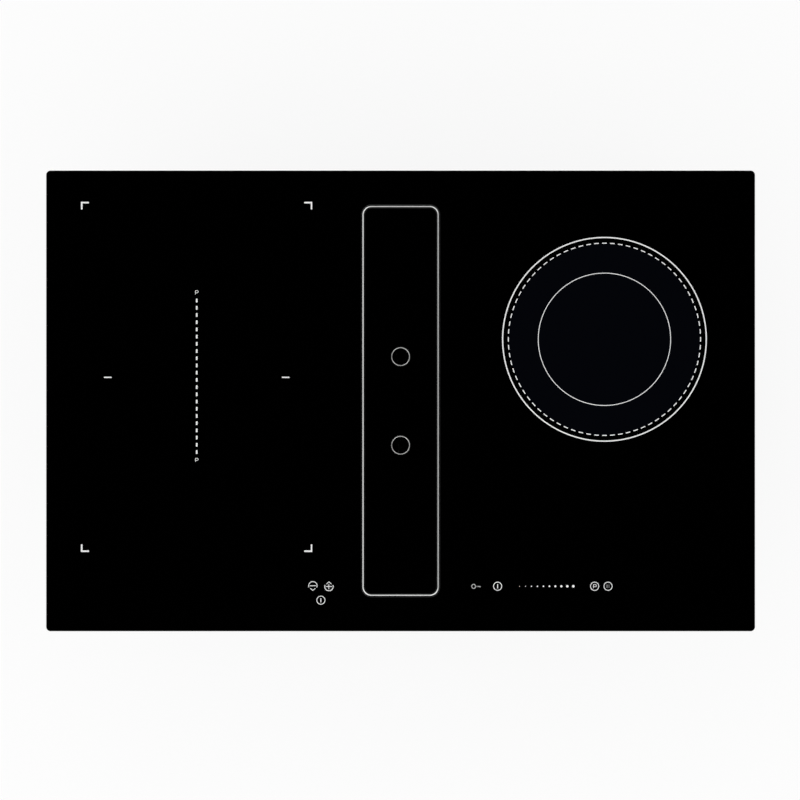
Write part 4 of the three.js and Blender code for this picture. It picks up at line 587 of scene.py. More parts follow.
def edge_shading():
    """Node group that joins a CAD mesh for shading and keeps its real edges sharp."""
    group = bpy.data.node_groups.new("edges", "GeometryNodeTree")
    for side in ("INPUT", "OUTPUT"):
        group.interface.new_socket("Geometry", in_out=side, socket_type="NodeSocketGeometry")
    tree = Tree(group)
    merged = tree.add("GeometryNodeMergeByDistance", {
        "Geometry": tree.add("NodeGroupInput", {}), "Distance": WELD})
    faces = tree.add("GeometryNodeSetShadeSmooth", {"Geometry": merged}, domain="FACE")
    bend = tree.add("GeometryNodeInputMeshEdgeAngle", {}, "Unsigned Angle")
    flat = tree.add("FunctionNodeCompare", {0: bend, 1: math.radians(38)},
                    data_type="FLOAT", operation="LESS_THAN")
    edges = tree.add("GeometryNodeSetShadeSmooth", {"Geometry": faces, "Shade Smooth": flat},
                     domain="EDGE")
    tree.node("NodeGroupOutput", {0: edges})
    return group


def modify(piece, name, kind, **settings):
    modifier = piece.modifiers.new(name, kind)
    for key, value in settings.items():
        setattr(modifier, key, value)


def shaded(piece, edges):
    """Shades a CAD node by its real form, without the normals it was packed with."""
    mesh = piece.data
    if "custom_normal" in mesh.attributes:
        mesh.attributes.remove(mesh.attributes["custom_normal"])
    modify(piece, "edges", "NODES", node_group=edges)
    modify(piece, "weighted", "WEIGHTED_NORMAL", mode="FACE_AREA", weight=90, keep_sharp=True)


def eased(piece, width):
    """Rounds the moulded edges of a CAD node over a small real radius, in mm."""
    modify(piece, "weld", "WELD", merge_threshold=WELD)
    modify(piece, "flat", "DECIMATE", decimate_type="DISSOLVE", angle_limit=math.radians(0.5))
    modify(piece, "round", "BEVEL", width=width * MM, segments=2, limit_method="ANGLE",
           angle_limit=math.radians(50), miter_outer="MITER_ARC", use_clamp_overlap=True)


def cad_finish(name, slot):
    if name.startswith("power_board"):
        return power_green
    if name.endswith("touch_board"):
        return touch_green
    if name.startswith("clamp_bolt"):
        return zinc_screw
    return finishes[slot]


MOULDED = {
    "inlet_hood": 0.8, "plenum_tub": 0.8, "plenum_lid": 0.7, "fan_control_box": 0.8,
    "terminal_box": 0.5, "terminal_lid": 0.5, "terminal_block": 0.4, "drip_tray": 0.6,
    "inlet_shaft": 0.4, "cooling_fan_frame_left": 0.4, "cooling_fan_frame_right": 0.4,
}
real_edges = edge_shading()
for name, node in nodes.items():
    slot = node.data.materials[0].name.split(".")[0]
    node.data.materials.clear()
    node.data.materials.append(cad_finish(name, slot))
    if name in MOULDED:
        eased(node, MOULDED[name])
    shaded(node, real_edges)


# -------- glass, cover and trim

def glass_plate(name, boundaries, bevel, body, node, steps=3):
    """Black glass with a ground edge of a few fine facets, polished on its faces."""
    bm = bmesh.new()
    facets = [math.pi / 2 * i / steps for i in range(steps + 1)]
    rise = [(bevel * (1 - math.cos(a)), bevel * (1 - math.sin(a))) for a in facets]
    profile = [(inset, GLASS_Z + drop) for inset, drop in reversed(rise)]
    profile += [(inset, GLASS_TOP - drop) for inset, drop in rise]
    add_plate(bm, boundaries, profile)
    piece = finished(name, bm, "black_glass", body=body, smooth=12)
    piece.data.materials.append(ground_edge)
    for face in piece.data.polygons:
        if abs(face.normal.z) < 0.99:
            face.material_index = 1
    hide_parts(node)


def inlet_trim():
    """Drawn ring: a rim that slopes outward, a ledge for the gasket, a flange under the glass."""
    bm = bmesh.new()
    crown = [(0, 214.4), (0.12, 214.75), (0.3, 215.07), (0.75, 215.35), (1.2, 215.63),
             (1.6, 215.87), (1.76, 215.94), (1.9, 215.91), (2, 215.7)]
    flange = [(0, 210.7), (-0.3, 211), (-5.8, 211), (-6, 211.2), (-6, 211.8), (-5.8, 212),
              (0, 212)]
    ledge = [(2, 209.1), (2.35, 208.75), (6.7, 208.75), (7, 208.45), (7, 207.8), (6.7, 207.5)]
    section = [(0.3, 207.5), (0, 207.8), *flange, *crown, *ledge]
    add_hoop(bm, outline(*TRIM, steps=16), section)
    piece = finished("trim_ring", bm, "stainless", trim_steel, smooth=28)
    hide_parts("inlet_trim")


def joint_bead():
    """Silicone bead that closes the joint between the glass and the trim."""
    bm = bmesh.new()
    section = [(0.02, 212.1), (0.02, 215.35), (0.12, 215.2), (0.25, 215.12), (0.38, 215.2),
               (0.48, 215.35), (0.48, 212.1)]
    add_hoop(bm, outline(*OPENING, steps=16), section)
    finished("joint_bead", bm, "silicone")


def foam_seal():
    """Closed-cell foam strip, pressed a little so that its sides bulge."""
    bm = bmesh.new()
    low, height, width, bulge, steps = 210.02, 1.96, 10, 0.55, 6
    side = [(bulge - bulge * math.sin(math.pi * i / steps), height * i / steps)
            for i in range(steps + 1)]
    section = [(inset, low + rise) for inset, rise in side]
    section += [(width - inset, low + height - rise) for inset, rise in side]
    add_hoop(bm, outline(*SEAL, bend=0.2, steps=8), section)
    piece = finished("foam_strip", bm, "foam", smooth=50)
    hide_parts("perimeter_seal")


def cover_seal():
    """Moulded gasket with a rounded bead on which the cover rests."""
    bm = bmesh.new()
    bead = [(1.5 - math.cos(math.pi * i / 8), 209.55 + 1.2 * math.sin(math.pi * i / 8))
            for i in range(9)]
    section = [(0, 208.75), (0, 209.4), *bead, (3, 209.4), (3, 208.75)]
    add_hoop(bm, outline(*GASKET, steps=12), section)
    piece = finished("gasket_bead", bm, "silicone", smooth=35)
    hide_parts("cover_gasket")


def finger_rings():
    """Turned steel edges of the finger holes, with a rounded mouth and a collar below."""
    mouth = [(10.5, 215.7), (10.46, 215.87), (10.37, 215.95), (10.27, 215.94), (10, 215.77),
             (9.72, 215.59), (9.57, 215.32), (9.5, 214.9)]
    collar = [(9.5, 209.9), (9.65, 209.75), (12.8, 209.75), (13, 209.9), (13, 210.6),
              (12.85, 210.75), (10.5, 210.75)]
    for y, node in ((-FINGER_Y, "finger_ring_front"), (FINGER_Y, "finger_ring_rear")):
        bm = bmesh.new()
        add_lathe(bm, collar + mouth, 0, y)
        piece = finished(f"{node}_turned", bm, "stainless", ring_steel, "cover", smooth=32)
        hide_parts(node)


glass_plate(
    "glass_sheet", [outline(*GLASS), outline(*OPENING, hole=True)], 0.75, "chassis", "glass_top")
glass_plate(
    "cover_sheet",
    [outline(*COVER), *[round_outline(10.8, y, hole=True) for y in (FINGER_Y, -FINGER_Y)]],
    0.5, "cover", "cover_glass")
inlet_trim()
joint_bead()
foam_seal()
cover_seal()
finger_rings()


# -------- printed marks

def marks(name, finish, *shapes):
    """A group of printed shapes; each one is a function that adds itself to the bmesh."""
    bm = bmesh.new()
    for shape in shapes:
        shape(bm)
    finished(name, bm, "black_glass", finish)


def shape_mark(*outlines):
    return lambda bm: add_flat(bm, *outlines)


def ring_mark(x, y, radius, width, steps):
    return lambda bm: add_band(
        bm, circle(radius + width / 2, x, y, steps), circle(radius - width / 2, x, y, steps))


def key_ring(x, y, radius):
    return ring_mark(x, y, radius, 0.85, 64)


def oval_mark(x, y, radius_x, radius_y, width, steps):
    def ring(grow):
        return [((radius_x + grow) * math.cos(turn) + x, (radius_y + grow) * math.sin(turn) + y)
                for turn in (2 * math.pi * i / steps for i in range(steps))]

    return lambda bm: add_band(bm, ring(width / 2), ring(-width / 2))


def arc_mark(x, y, radius, width, start, end, steps=24):
    return lambda bm: add_band(
        bm, arc(x, y, radius + width / 2, start, end, steps),
        arc(x, y, radius - width / 2, start, end, steps), closed=False)


def bar_mark(x0, y0, x1, y1):
    return shape_mark([(x0, y0), (x1, y0), (x1, y1), (x0, y1)])


def dash_mark(x, y, width, height):
    return bar_mark(x - width / 2, y - height / 2, x + width / 2, y + height / 2)


def line_mark(points, width):
    """A bent line with mitred corners."""
    spots = [Vector(point) for point in points]
    legs = [(b - a).normalized() for a, b in zip(spots, spots[1:])]
    left, right = [], []
    for here, behind, ahead in zip(spots, legs[:1] + legs, legs + legs[-1:]):
        normal = Vector((-(ahead + behind).y, (ahead + behind).x)).normalized()
        reach = width / 2 / normal.dot(Vector((-behind.y, behind.x)))
        left.append(tuple(here + normal * reach))
        right.append(tuple(here - normal * reach))
    return shape_mark(right + left[::-1])


def corner_mark(x, y, side_x, side_y, upright, long_x=9, long_y=8.6, width=1.83):
    """An L whose outer corner is at x, y; its arms run inward and upright is its stem's width."""
    points = [(0, 0), (long_x, 0), (long_x, width), (upright, width), (upright, long_y),
              (0, long_y)]
    return shape_mark([(x - side_x * px, y - side_y * py) for px, py in points])


def plus_mark(left, right, low, high, stem, bar):
    """A plus sign: its stem lies between two x, its bar between two y."""
    return shape_mark([
        (left, bar[0]), (stem[0], bar[0]), (stem[0], low), (stem[1], low), (stem[1], bar[0]),
        (right, bar[0]), (right, bar[1]), (stem[1], bar[1]), (stem[1], high), (stem[0], high),
        (stem[0], bar[1]), (left, bar[1])])


def letter_p(x, y, width, height, stroke):
    """A plain capital P in its box, for full power."""
    x0, y0 = x - width / 2, y - height / 2
    bowl = height * 0.335
    middle_y = y0 + height - bowl
    centre_x = x0 + width - bowl
    outer = [(x0, y0), (x0 + stroke, y0), (x0 + stroke, middle_y - bowl)]
    outer += arc(centre_x, middle_y, bowl, -90, 90, 12) + [(x0, y0 + height)]
    inner = [(x0 + stroke, middle_y - bowl + stroke)]
    inner += arc(centre_x, middle_y, bowl - stroke, -90, 90, 10)
    inner += [(x0 + stroke, middle_y + bowl - stroke)]
    return shape_mark(outer, inner)


def dash_ring(x, y, radius, width, length, count):
    """Short arcs in a circle, one of them at twelve o'clock."""
    half = math.degrees(length / 2 / radius)
    middles = [90 + 360 * i / count for i in range(count)]
    return [arc_mark(x, y, radius, width, at - half, at + half, 4) for at in middles]


def zone_marks():
    marks("print_round_zone", ink_white,
          ring_mark(*ZONE, 114.88, 1.36, 256), *dash_ring(*ZONE, 108.45, 1.09, 5.2, 76))
    marks("print_round_zone_inner", ink_white, ring_mark(*ZONE, 74.68, 0.78, 192))
    left, right, rear, front = -360.68, -99.7, 224.6, -170.48
    ticks = [dash_mark(x, 26.58, 8.5, 1.4) for x in (-330.4, -129.7)]
    dashes = [dash_mark(-230, 113.2 - 8.138 * i, 1.8, 4.1) for i in range(22)]
    marks("print_left_zone", ink_white,
          corner_mark(left, rear, -1, 1, 1.86), corner_mark(right, rear, 1, 1, 1.66),
          corner_mark(left, front, -1, -1, 1.8), corner_mark(right, front, 1, -1, 1.6),
          *ticks, *dashes)
    marks("print_left_zone_power", ink_white,
          *[letter_p(-229.85, y, 3.65, 4.5, 0.56) for y in (122.42, -66.73)])


def fan_marks():
    """Less and more air, each a dome, a sign and an arrow, and the fan's power key."""
    marks("print_fan_keys", ink_control,
          arc_mark(-98.95, -208.65, 4.76, 0.87, -22, 202),
          bar_mark(-102.4, -209, -95.4, -208.1),
          line_mark([(-101.9, -211.45), (-99, -213.8), (-96.2, -211.45)], 0.85),
          arc_mark(-80.82, -209.48, 4.76, 0.92, 158, 382),
          plus_mark(-84.4, -77.5, -212.4, -206.8, (-81.4, -80.65), (-209.87, -209)),
          line_mark([(-83.5, -206.6), (-80.8, -204.15), (-78.1, -206.6)], 0.85),
          key_ring(-89.92, -224.85, 4.58), bar_mark(-90.5, -227.25, -89.45, -222.6))


def cooking_marks():
    """Power, boost, key lock, the slider's growing dots and the timer."""
    marks("print_power_key", ink_control,
          key_ring(109.5, -209.1, 4.61), bar_mark(109, -211.6, 110, -206.7))
    marks("print_boost_key", ink_control,
          key_ring(218.95, -209.15, 4.65), letter_p(219.32, -209.28, 4.16, 4.38, 0.64))
    bit = [(84.9, -209.35), (87.2, -209.35), (87.2, -209.9), (89.45, -209.9), (89.45, -210.4),
           (90.1, -210.4), (90.1, -208.9), (84.9, -208.9)]
    marks("print_key_lock", ink_grey,
          oval_mark(82.44, -209.29, 2.13, 2.35, 0.85, 48), shape_mark(bit))
    sizes = (0.79, 0.89, 1.41, 1.53, 1.74, 1.99, 2.19, 2.55, 2.88, 2.97)
    marks("print_slider", ink_white,
          *[shape_mark(circle(size / 2, 134.2 + 6.74 * i, -209.15, 32))
            for i, size in enumerate(sizes)])
    marks("print_timer_ring", ink_control, key_ring(234.05, -209.1, 4.6))
    marks("print_timer_bars", ink_faint,
          bar_mark(232, -211, 234.5, -207.33), bar_mark(235.35, -211, 235.95, -207.33))


zone_marks()
fan_marks()
cooking_marks()


# -------- grease filter

def filter_faces():
    """The V of the mesh pack as (x, z) lines, its upper face and its lower one."""
    half, foot, top, bottom, thick = 31.45, 7, 187.75, 105.3, 7
    upper = [(-half + thick, top), (-foot / 2, bottom + thick), (foot / 2, bottom + thick),
             (half - thick, top)]
    lower = [(-half, top), (-half, top - thick), (-foot, bottom), (foot, bottom),
             (half, top - thick), (half, top)]
    return upper, lower


def filter_core(upper, lower, reach):
    """The inside of the pack, with painted shade in its gaps, a little smaller all round than its
    lattice.
    """
    inset, narrower, top = 0.7, 0.985, upper[0][1]
    section = [(x * narrower, z - inset) for x, z in upper]
    section += [(x * narrower, z - inset if z == top else z + inset) for x, z in reversed(lower)]
    bm = bmesh.new()
    ends = [[bm.verts.new((x, y, z)) for x, z in section] for y in (-reach + 1, reach - 1)]
    skin(bm, ends, capped=True)
    # its finish paints the shade that falls between the strands of the deeper layers
    core = finished("filter_core", bm, "mesh_aluminium", core_mesh_strands_and_painted_shade, "grease_filter", smooth=15)
    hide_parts("filter_mesh")


def add_strand(bm, start, end, width=0.5):
    """One flat strand of expanded metal, a four-sided bar from knot to knot."""
    along = (end - start).normalized()
    side = along.cross(Vector((0, 1, 0.31))).normalized() * width
    up = along.cross(side).normalized() * width
    rings = [[bm.verts.new(p + offset) for offset in (side, up, -side, -up)]
             for p in (start - along * 0.15, end + along * 0.15)]
    skin(bm, rings, capped=True)


def evenly(line, spacing):
    """Points along a bent line, about this far apart, with each of its corners."""
    points = [Vector(point) for point in line]
    places = []
    for a, b in zip(points, points[1:]):
        count = max(1, round((b - a).length / spacing))
        places += [a.lerp(b, i / count) for i in range(count)]
    return places + points[-1:]


def filter_lattice(upper, lower, reach):
    """Expanded metal on both faces: rows of knots, every other one shifted by half a cell."""
    cell_length, row_spacing = 6.6, 3.7
    columns = round(2 * reach / cell_length)
    pitch = 2 * reach / columns
    bm = bmesh.new()
    for line in (upper, lower[1:5]):
        rows = []
        for r, place in enumerate(evenly(line, row_spacing)):
            shifted = r % 2
            rows.append([Vector((place.x, -reach + pitch * (c + shifted / 2), place.y))
                         for c in range(columns + 1 - shifted)])
        for r, pair in enumerate(zip(rows, rows[1:])):
            shifted_row, full_row = pair if r % 2 else reversed(pair)
            for c, knot in enumerate(shifted_row):
                add_strand(bm, knot, full_row[c])
                add_strand(bm, knot, full_row[c + 1])
    finished("filter_lattice", bm, "mesh_aluminium", body="grease_filter", smooth=40)


FILTER_REACH = 207.7
filter_core(*filter_faces(), FILTER_REACH)
filter_lattice(*filter_faces(), FILTER_REACH)


# -------- windings

def winding(name, node, boundary, width, pitch=3):
    """Litz wire laid in two layers, spiralling in on top and out again below, in one length."""
    count = len(boundary(0))
    layer = int((width / pitch - 1) * count)
    crossing = count // 8 + 1
    low, high = COIL_Z + 0.5 * pitch, COIL_Z + 1.5 * pitch
    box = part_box(node)
    middle_x, middle_y = [(box[0][k] + box[1][k]) / 2 / MM for k in (0, 1)]

    def spot(i, inward, z):
        x, y = boundary(pitch / 2 + pitch * inward / count)[i % count]
        return middle_x + x, middle_y + y, z

    points = [spot(i, i, high) for i in range(layer + 1)]
    for k in range(1, crossing):
        sunk = 0.5 - 0.5 * math.cos(math.pi * k / crossing)
        points.append(spot(layer + k, layer, high + (low - high) * sunk))
    points += [spot(layer + crossing + k, layer - k, low) for k in range(layer + 1)]
    bm = bmesh.new()
    add_tube(bm, points, 1.38, 6)
    piece = finished(name, bm, "copper", smooth=65)
    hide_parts(node)


oblong_coil = outline(*OBLONG_COIL, bend=0.5, steps=9)
for coil, boundary, width in (
        ("left_front", oblong_coil, 60),
        ("left_rear", oblong_coil, 60),
        ("right_outer", round_outline(108, steps=48), 30),
        ("right_inner", round_outline(70, steps=48), 42)):
    winding(f"litz_{coil}", f"coil_winding_{coil}", boundary, width)


# -------- screws and pressed details

def screws(name, finish, slot, head, places, facing=(0, 0, 1), slotted=False):
    """Screws with heads of (radius, height); facing may be a function of a screw's place."""
    bm = bmesh.new()
    for place in places:
        axis = Vector(facing(place) if callable(facing) else facing)
        turn = Vector((0, 0, 1)).rotation_difference(axis).to_matrix().to_4x4()
        add_screw(bm, Matrix.Translation(place) @ turn, *head, slotted)
    finished(name, bm, slot, finish, smooth=30)


def scroll_radius(degrees):
    """The scroll's logarithmic spiral."""
    return 98 * math.exp(0.08 * math.radians(degrees - 55))


def boss_places(z, out=7.6):
    """Middles of the screw bosses round the scroll's seam, out from its wall."""
    cx, cy = BLOWER
    places = [(*polar(scroll_radius(degrees) + out, degrees, cx, cy), z)
              for degrees in (92, 118, 245, 275, 305, 335)]
    walls = ((Vector((scroll_radius(360), 0)), DUCT_RIGHT, (0.2, 0.5, 0.8), -out),
             (TONGUE, DUCT_LEFT, (0.35, 0.8), out))
    for start, end, shares, reach in walls:
        for share in shares:
            p = start.lerp(end, share) + left_of(start, end) * reach
            places.append((cx + p.x, cy + p.y, z))
    return places


def blower_posts(places):
    """Hexagon posts with rubber buffers, on which the blower hangs from the chassis floor."""
    posts, buffers = bmesh.new(), bmesh.new()
    buffer = [(5.6, 141.8), (6.6, 142.6), (7.2, 144.6), (6.2, 146.8), (7.2, 149), (6.8, 151.2),
              (5.8, 152.2)]
    for x, y, z in places:
        post = [(4.2, z - 0.3), (4.6, z + 0.4), (4.6, z + 39), (4, z + 39.6)]
        add_dome(posts, post, x, y, 6)
        add_dome(buffers, buffer, x, y, 28)
    finished("blower_posts", posts, "stainless", zinc_screw, smooth=40)
    finished("blower_buffers", buffers, "silicone", smooth=60)


HUNG = (3, 5, 7, 10)          # bosses that carry the blower's posts
bosses = boss_places(103)
screws("scroll_screws", black_screw, "stainless", (3.3, 1.9),
       [place for i, place in enumerate(bosses) if i not in HUNG])
blower_posts([bosses[i] for i in HUNG])
screws("spigot_screws", black_screw, "stainless", (2.3, 1.6),
       [(x, 208, z) for x in (135.3, 364.7) for z in (10, 51.5, 93)], (0, 1, 0))
FRAME_HEAD, FRAME_Z = (3.4, 1.6), 203.5
for end, side in (("front", -1), ("rear", 1)):
    screws(f"frame_screws_{end}", zinc_screw, "zinc_sheet", FRAME_HEAD,
           [(x, side * 241, FRAME_Z) for x in (-330, -120, 120, 330)], (0, side, 0))
screws("frame_screws_sides", zinc_screw, "zinc_sheet", FRAME_HEAD,
       [(x, y, FRAME_Z) for x in (-371, 371) for y in (-190, 0, 190)],
       lambda place: (math.copysign(1, place[0]), 0, 0))
screws("terminal_screws", brass_metal, "stainless", (3.3, 2.2),
       [(-190 + (i - 2) * 16, 187, 121.5) for i in range(5)], slotted=True)
screws("control_screws", black_screw, "stainless", (2.6, 1.6),
       [(-102, y, z) for y in (-62, 62) for z in (50, 102)], (-1, 0, 0))


def rib(bm, x, y, facing, low, high, depth=4, thick=2.5):
    """A drafted moulded rib with a rounded crest, standing on a wall that faces outward."""
    profile = [(-0.15, -0.6), (0, depth - 0.5), (0.15, depth - 0.15), (0.4, depth)]
    foot = outline(thick, high - low, 0.3, bend=0, steps=2)
    placed(bm, standing(x, y, (low + high) / 2, facing), add_plate, [foot], profile)


def moulded_ribs():
    """Stiffening ribs on the ends of the plenum and round the hood and the scroll."""
    cx, cy = BLOWER
    bm = bmesh.new()
    for side in (-1, 1):
        for x in (-30, 0, 30):
            rib(bm, x, side * 232, (0, side, 0), 2, 143.5)
    finished("plenum_end_ribs", bm, "black_plastic", smooth=35)

    bm = bmesh.new()
    hood = (104, 149, 2.6, 2.2)
    for degrees in range(-75, 76, 25):
        rib(bm, *polar(94.2, degrees, cx, cy), (*polar(1, degrees), 0), *hood)
    for x in (85, 125, 165):
        for side in (-1, 1):
            rib(bm, x, cy + side * 94.4, (0, side, 0), *hood)
    finished("hood_ribs", bm, "black_plastic", smooth=35)

    bm = bmesh.new()
    angles = [80 + 280 * i / 60 for i in range(61)]
    inner, outer = [
        [polar(scroll_radius(degrees) + out, degrees, cx, cy) for degrees in angles]
        + [(cx + DUCT_RIGHT.x + out, 204.5)] for out in (2, 4.3)]
    for z in (30, 62):
        add_band(bm, outer, inner, low=z, high=z + 2.6, closed=False)
    finished("scroll_bands", bm, "black_plastic", smooth=25)


def floor_rib(bm, x0, y0, x1, y1, thick=2):
    """A low rib under a moulded floor, from one point to another."""
    start, end = Vector((x0, y0, 0)), Vector((x1, y1, 0))
    along = end - start
    turn = Matrix.Rotation(math.atan2(along.y, along.x), 4, "Z")
    middle = Matrix.Translation((start + end) / 2)
    foot = outline(along.length, thick, 0.3, bend=0, steps=2)
    profile = [(-0.12, -0.2), (0, 1.1), (0.12, 1.4), (0.35, 1.5)]
    placed(bm, middle @ turn @ standing(0, 0, 0, (0, 0, -1)), add_plate, [foot], profile)


def floor_ribs():
    """Ribs under the floors of the plenum and the scroll, with the motor's mounting circle."""
    bm = bmesh.new()
    for x in (-26, 26):
        floor_rib(bm, x, -222, x, 222)
    for y in (-185, -111, -37, 37, 111, 185):
        floor_rib(bm, -51, y, 51, y)
    finished("plenum_floor_ribs", bm, "black_plastic", smooth=35)

    bm = bmesh.new()
    cx, cy = BLOWER
    crest = [(-1.2, 0.2), (-1.1, -1.1), (-0.8, -1.5), (0.8, -1.5), (1.1, -1.1), (1.2, 0.2)]
    for radius in (34, 92):
        add_lathe(bm, [(radius + across, z) for across, z in crest], cx, cy)
    for degrees in range(15, 360, 30):
        floor_rib(bm, *polar(34.4, degrees, cx, cy), *polar(91.6, degrees, cx, cy), 1.8)
    rear = 197
    for x, low in ((180, 172), (215, 122), (250, 62), (285, -4.4), (320, -38)):
        floor_rib(bm, x, low, x, rear)
    floor_rib(bm, 160, rear, 348, rear)
    hub = [(8.5, 0.2), (8.5, -0.5), (8.1, -0.85), (7.2, -1), (6.9, -0.8), (2, -0.8)]
    add_dome(bm, hub, cx, cy)

    out, z, radius = 2, 0.9, 1.35
    spiral = [(*polar(scroll_radius(degrees) + out, degrees, cx, cy), z)
              for degrees in range(55, 361, 5)]
    add_tube(bm, spiral + [(cx + DUCT_RIGHT.x + out, cy + DUCT_RIGHT.y, z)], radius, 10)
    shift = left_of(TONGUE, DUCT_LEFT) * out
    wall = [(cx + p.x, cy + p.y, z) for p in (TONGUE + shift, DUCT_LEFT + shift)]
    add_tube(bm, wall, radius, 10)
    finished("scroll_floor_ribs", bm, "black_plastic", smooth=35)


def snap_hooks():
    """Straps on the plenum lid that snap over catches on the tub."""
    bm = bmesh.new()
    strap = outline(17, 20, 2, steps=4)
    window = outline(9.6, 6, 1, hole=True, y=-3.5, steps=3)
    block = outline(17, 2.8, 0.5, bend=0, steps=2)
    wedge = [(-0.4, -6.2), (0.3, -6.2), (2.2, -2), (2.2, -1.1), (-0.4, -1.1)]
    places = [(-57, y) for y in (-203, -145, 145, 203)]
    places += [(57, y) for y in (-203, 87, 145, 203)]
    for x, y in places:
        facing = (math.copysign(1, x), 0, 0)
        place = standing(x, y, 139.5, facing)
        placed(bm, place, add_plate, [strap, window], [(0, 0.15), (0, 1.3), (0.3, 1.7)])
        ends = [[bm.verts.new(place @ Vector((u, v, w))) for w, v in wedge] for u in (-4.2, 4.2)]
        skin(bm, ends, capped=True)
        placed(bm, standing(x, y, 148.4, facing), add_plate, [block],
               [(0, -0.4), (0, 1.3), (0.3, 1.7)])
    finished("lid_hooks", bm, "black_plastic", smooth=30)


def corner_rivets():
    """Blind rivets that close the folded corners of the chassis tray."""
    bm = bmesh.new()
    dome = [(2.6, -0.3), (2.6, 0.15), (2.2, 0.65), (1.35, 0.95), (1.2, 0.7), (0.6, 0.62)]
    for side_x in (-1, 1):
        for side_y in (-1, 1):
            for z in (162, 186):
                place = standing(side_x * 360, side_y * 239.5, z, (0, side_y, 0))
                placed(bm, place, add_dome, dome, steps=20)
    finished("corner_rivets", bm, "zinc_sheet", zinc_screw, smooth=40)


def pin_headers():
    """Plug housings with their pins at the back of the control box's sockets."""
    shells, pins = bmesh.new(), bmesh.new()
    outer = outline(14.6, 13.2, 1, bend=0, steps=3)
    inner = outline(12.2, 10.6, 0.8, hole=True, bend=0, steps=3)
    floor = outline(12.6, 11, 0.8, steps=3)
    for y in (-26, 0, 26):
        place = standing(-91, y, 66, (-1, 0, 0))
        placed(shells, place, add_plate, [outer, inner], [(0, 0.1), (0, 6.6), (0.25, 7)])
        placed(shells, place, add_plate, [floor], [(0, 0.05), (0, 1.6)])
        for i in range(4):
            for v in (-2.2, 2.2):
                pin = outline(0.8, 0.8, 0.1, bend=0, x=(i - 1.5) * 2.5, y=v, steps=1)
                placed(pins, place, add_plate, [pin], [(0, 1.2), (0, 5.4), (0.25, 6)])
    finished("socket_headers", shells, "white_plastic", smooth=30)
    finished("socket_pins", pins, "stainless", brass_metal, smooth=30)


def pressed_beads(width=9):
    """Stiffening beads pressed into the chassis floor, seen from below."""
    bm = bmesh.new()
    levels = [(0, 152.05), (0.6, 151.75), (1.6, 151.25), (3.2, 150.95)]
    places = [(x, -165, 90) for x in (-275, -215, -155)]
    places += [(x, 75, 150) for x in (-315, -120)]
    for x, y, length in places:
        edge = outline(width, length, width / 2 - 0.01, x=x, y=y, steps=6)
        skin(bm, layers(bm, edge, levels), capped=True)
    finished("floor_beads", bm, "zinc_sheet", smooth=40)


moulded_ribs()
floor_ribs()
screws("motor_screws", zinc_screw, "stainless", (3.5, 1.4),
       [(*polar(21, degrees, *BLOWER), 0) for degrees in (30, 150, 270)], (0, 0, -1))
snap_hooks()
corner_rivets()
pin_headers()
pressed_beads()


# -------- floor, light, camera

def studio_floor():
    """White to the camera and in gloss, a little dimmer near the object; clear from below."""
    floor = Finish("studio_floor")
    far = floor.spread(floor.vector("LENGTH", floor.where(), output="Value"), 0.88, 1, 0.4, 1.6)
    seen = floor.rays("Is Camera Ray", "Is Glossy Ray", "Is Transmission Ray")
    top = floor.add("ShaderNodeMixShader", {
        0: floor.math("MULTIPLY", seen, far),
        1: floor.add("ShaderNodeBsdfDiffuse", {"Color": (0.9, 0.9, 0.9)}),
        2: floor.add("ShaderNodeEmission", {"Color": (1, 1, 1)})})
    side = floor.add("ShaderNodeMixShader", {
        0: floor.add("ShaderNodeNewGeometry", {}, "Backfacing"),
        1: top,
        2: floor.add("ShaderNodeBsdfTransparent", {})})
    floor.node("ShaderNodeOutputMaterial", {"Surface": side})
    bm = bmesh.new()
    bm.faces.new([bm.verts.new((x, y, -0.0016)) for x, y in ((-6, -6), (6, -6), (6, 6), (-6, 6))])
    linked_mesh("studio_floor", bm, floor.material)


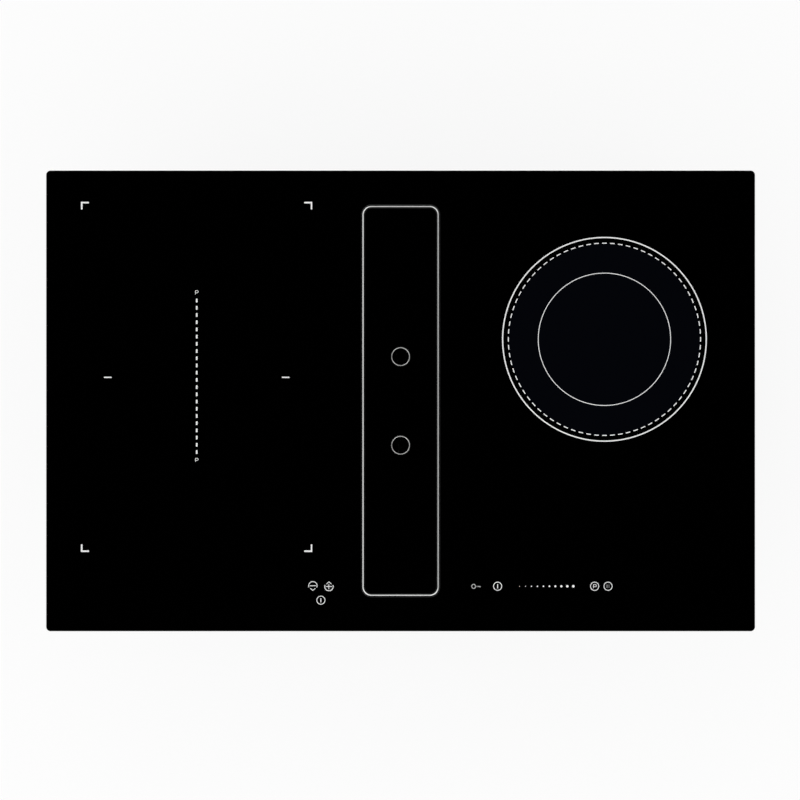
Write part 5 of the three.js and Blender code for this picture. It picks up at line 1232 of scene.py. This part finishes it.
def studio_world():
    """White to the camera; metal and glass see it pale at the sides, more so at the front and
    left and on the diagonals, and dark overhead."""
    world = bpy.data.worlds.new("studio")
    bpy.context.scene.world = world
    world.use_nodes = True
    tree = Tree(world.node_tree)
    where = tree.where("Generated")
    x, y, z = [tree.axis(where, name) for name in "XYZ"]
    levels = ((0.10, 0.95), (0.45, 0.85), (0.72, 0.6), (0.86, 0.22), (0.95, 0))
    sky = tree.ramp(z, *[(position, (level, level, level)) for position, level in levels])
    front_left = tree.vector("DOT_PRODUCT", where, (-0.23, -0.17, 0), output="Value")
    diagonal = tree.math("ABSOLUTE", tree.math("MULTIPLY", x, y))
    right_diagonal = tree.math("MULTIPLY", x, tree.math("ABSOLUTE", y))
    ends = tree.math("MULTIPLY_ADD", tree.math("MULTIPLY", y, y), 0.23, 0.80)
    corners = tree.math("MULTIPLY_ADD", diagonal, 1.4, ends)
    around = tree.math("MULTIPLY_ADD", right_diagonal, 0.25, corners)
    strength = tree.math("ADD", front_left, around)
    key = tree.add("ShaderNodeVectorMath", {0: sky, "Scale": strength}, operation="SCALE")
    plain = tree.mixed(tree.rays("Is Glossy Ray"), (0.45, 0.45, 0.45), key)
    seen = tree.mixed(tree.rays("Is Camera Ray", "Is Transmission Ray"), plain, (1, 1, 1))
    background = tree.add("ShaderNodeBackground", {"Color": seen})
    tree.node("ShaderNodeOutputWorld", {"Surface": background})


def softbox(name, azimuth, elevation, power, distance=2.3, size=1.5):
    """A soft square lamp aimed at the object; azimuth 0 is to its right, 90 behind it.
    Gloss comes from the world alone, so that the glass shows no lamp edges."""
    lamp = bpy.data.lights.new(name, "AREA")
    lamp.shape, lamp.size, lamp.energy = "SQUARE", size, power
    holder = linked(name, lamp)
    holder.visible_glossy = False
    a, e = math.radians(azimuth), math.radians(elevation)
    toward = Vector((math.cos(a) * math.cos(e), math.sin(a) * math.cos(e), math.sin(e)))
    holder.location = distance * toward
    holder.rotation_mode = "QUATERNION"
    holder.rotation_quaternion = (holder.location - Vector((0, 0, 0.1))).to_track_quat("Z", "Y")


def photo_camera():
    """Looks straight down, as in the photograph, a hair off the middle."""
    lens = bpy.data.cameras.new("photo_camera")
    lens.lens, lens.sensor_width = 100, 36
    camera = linked("photo_camera", lens)
    camera.location = (-0.00067, 0.0010, TOP_Z * MM + 2.5072)
    bpy.context.scene.camera = camera


studio_floor()
studio_world()
softbox("softbox_left", 195, 48, 10.2)
softbox("softbox_front", 262, 50, 9.4)
softbox("softbox_right", 345, 46, 7.4)
softbox("softbox_rear", 100, 48, 7.6)
photo_camera()
bpy.context.scene.view_settings.view_transform = "Standard"
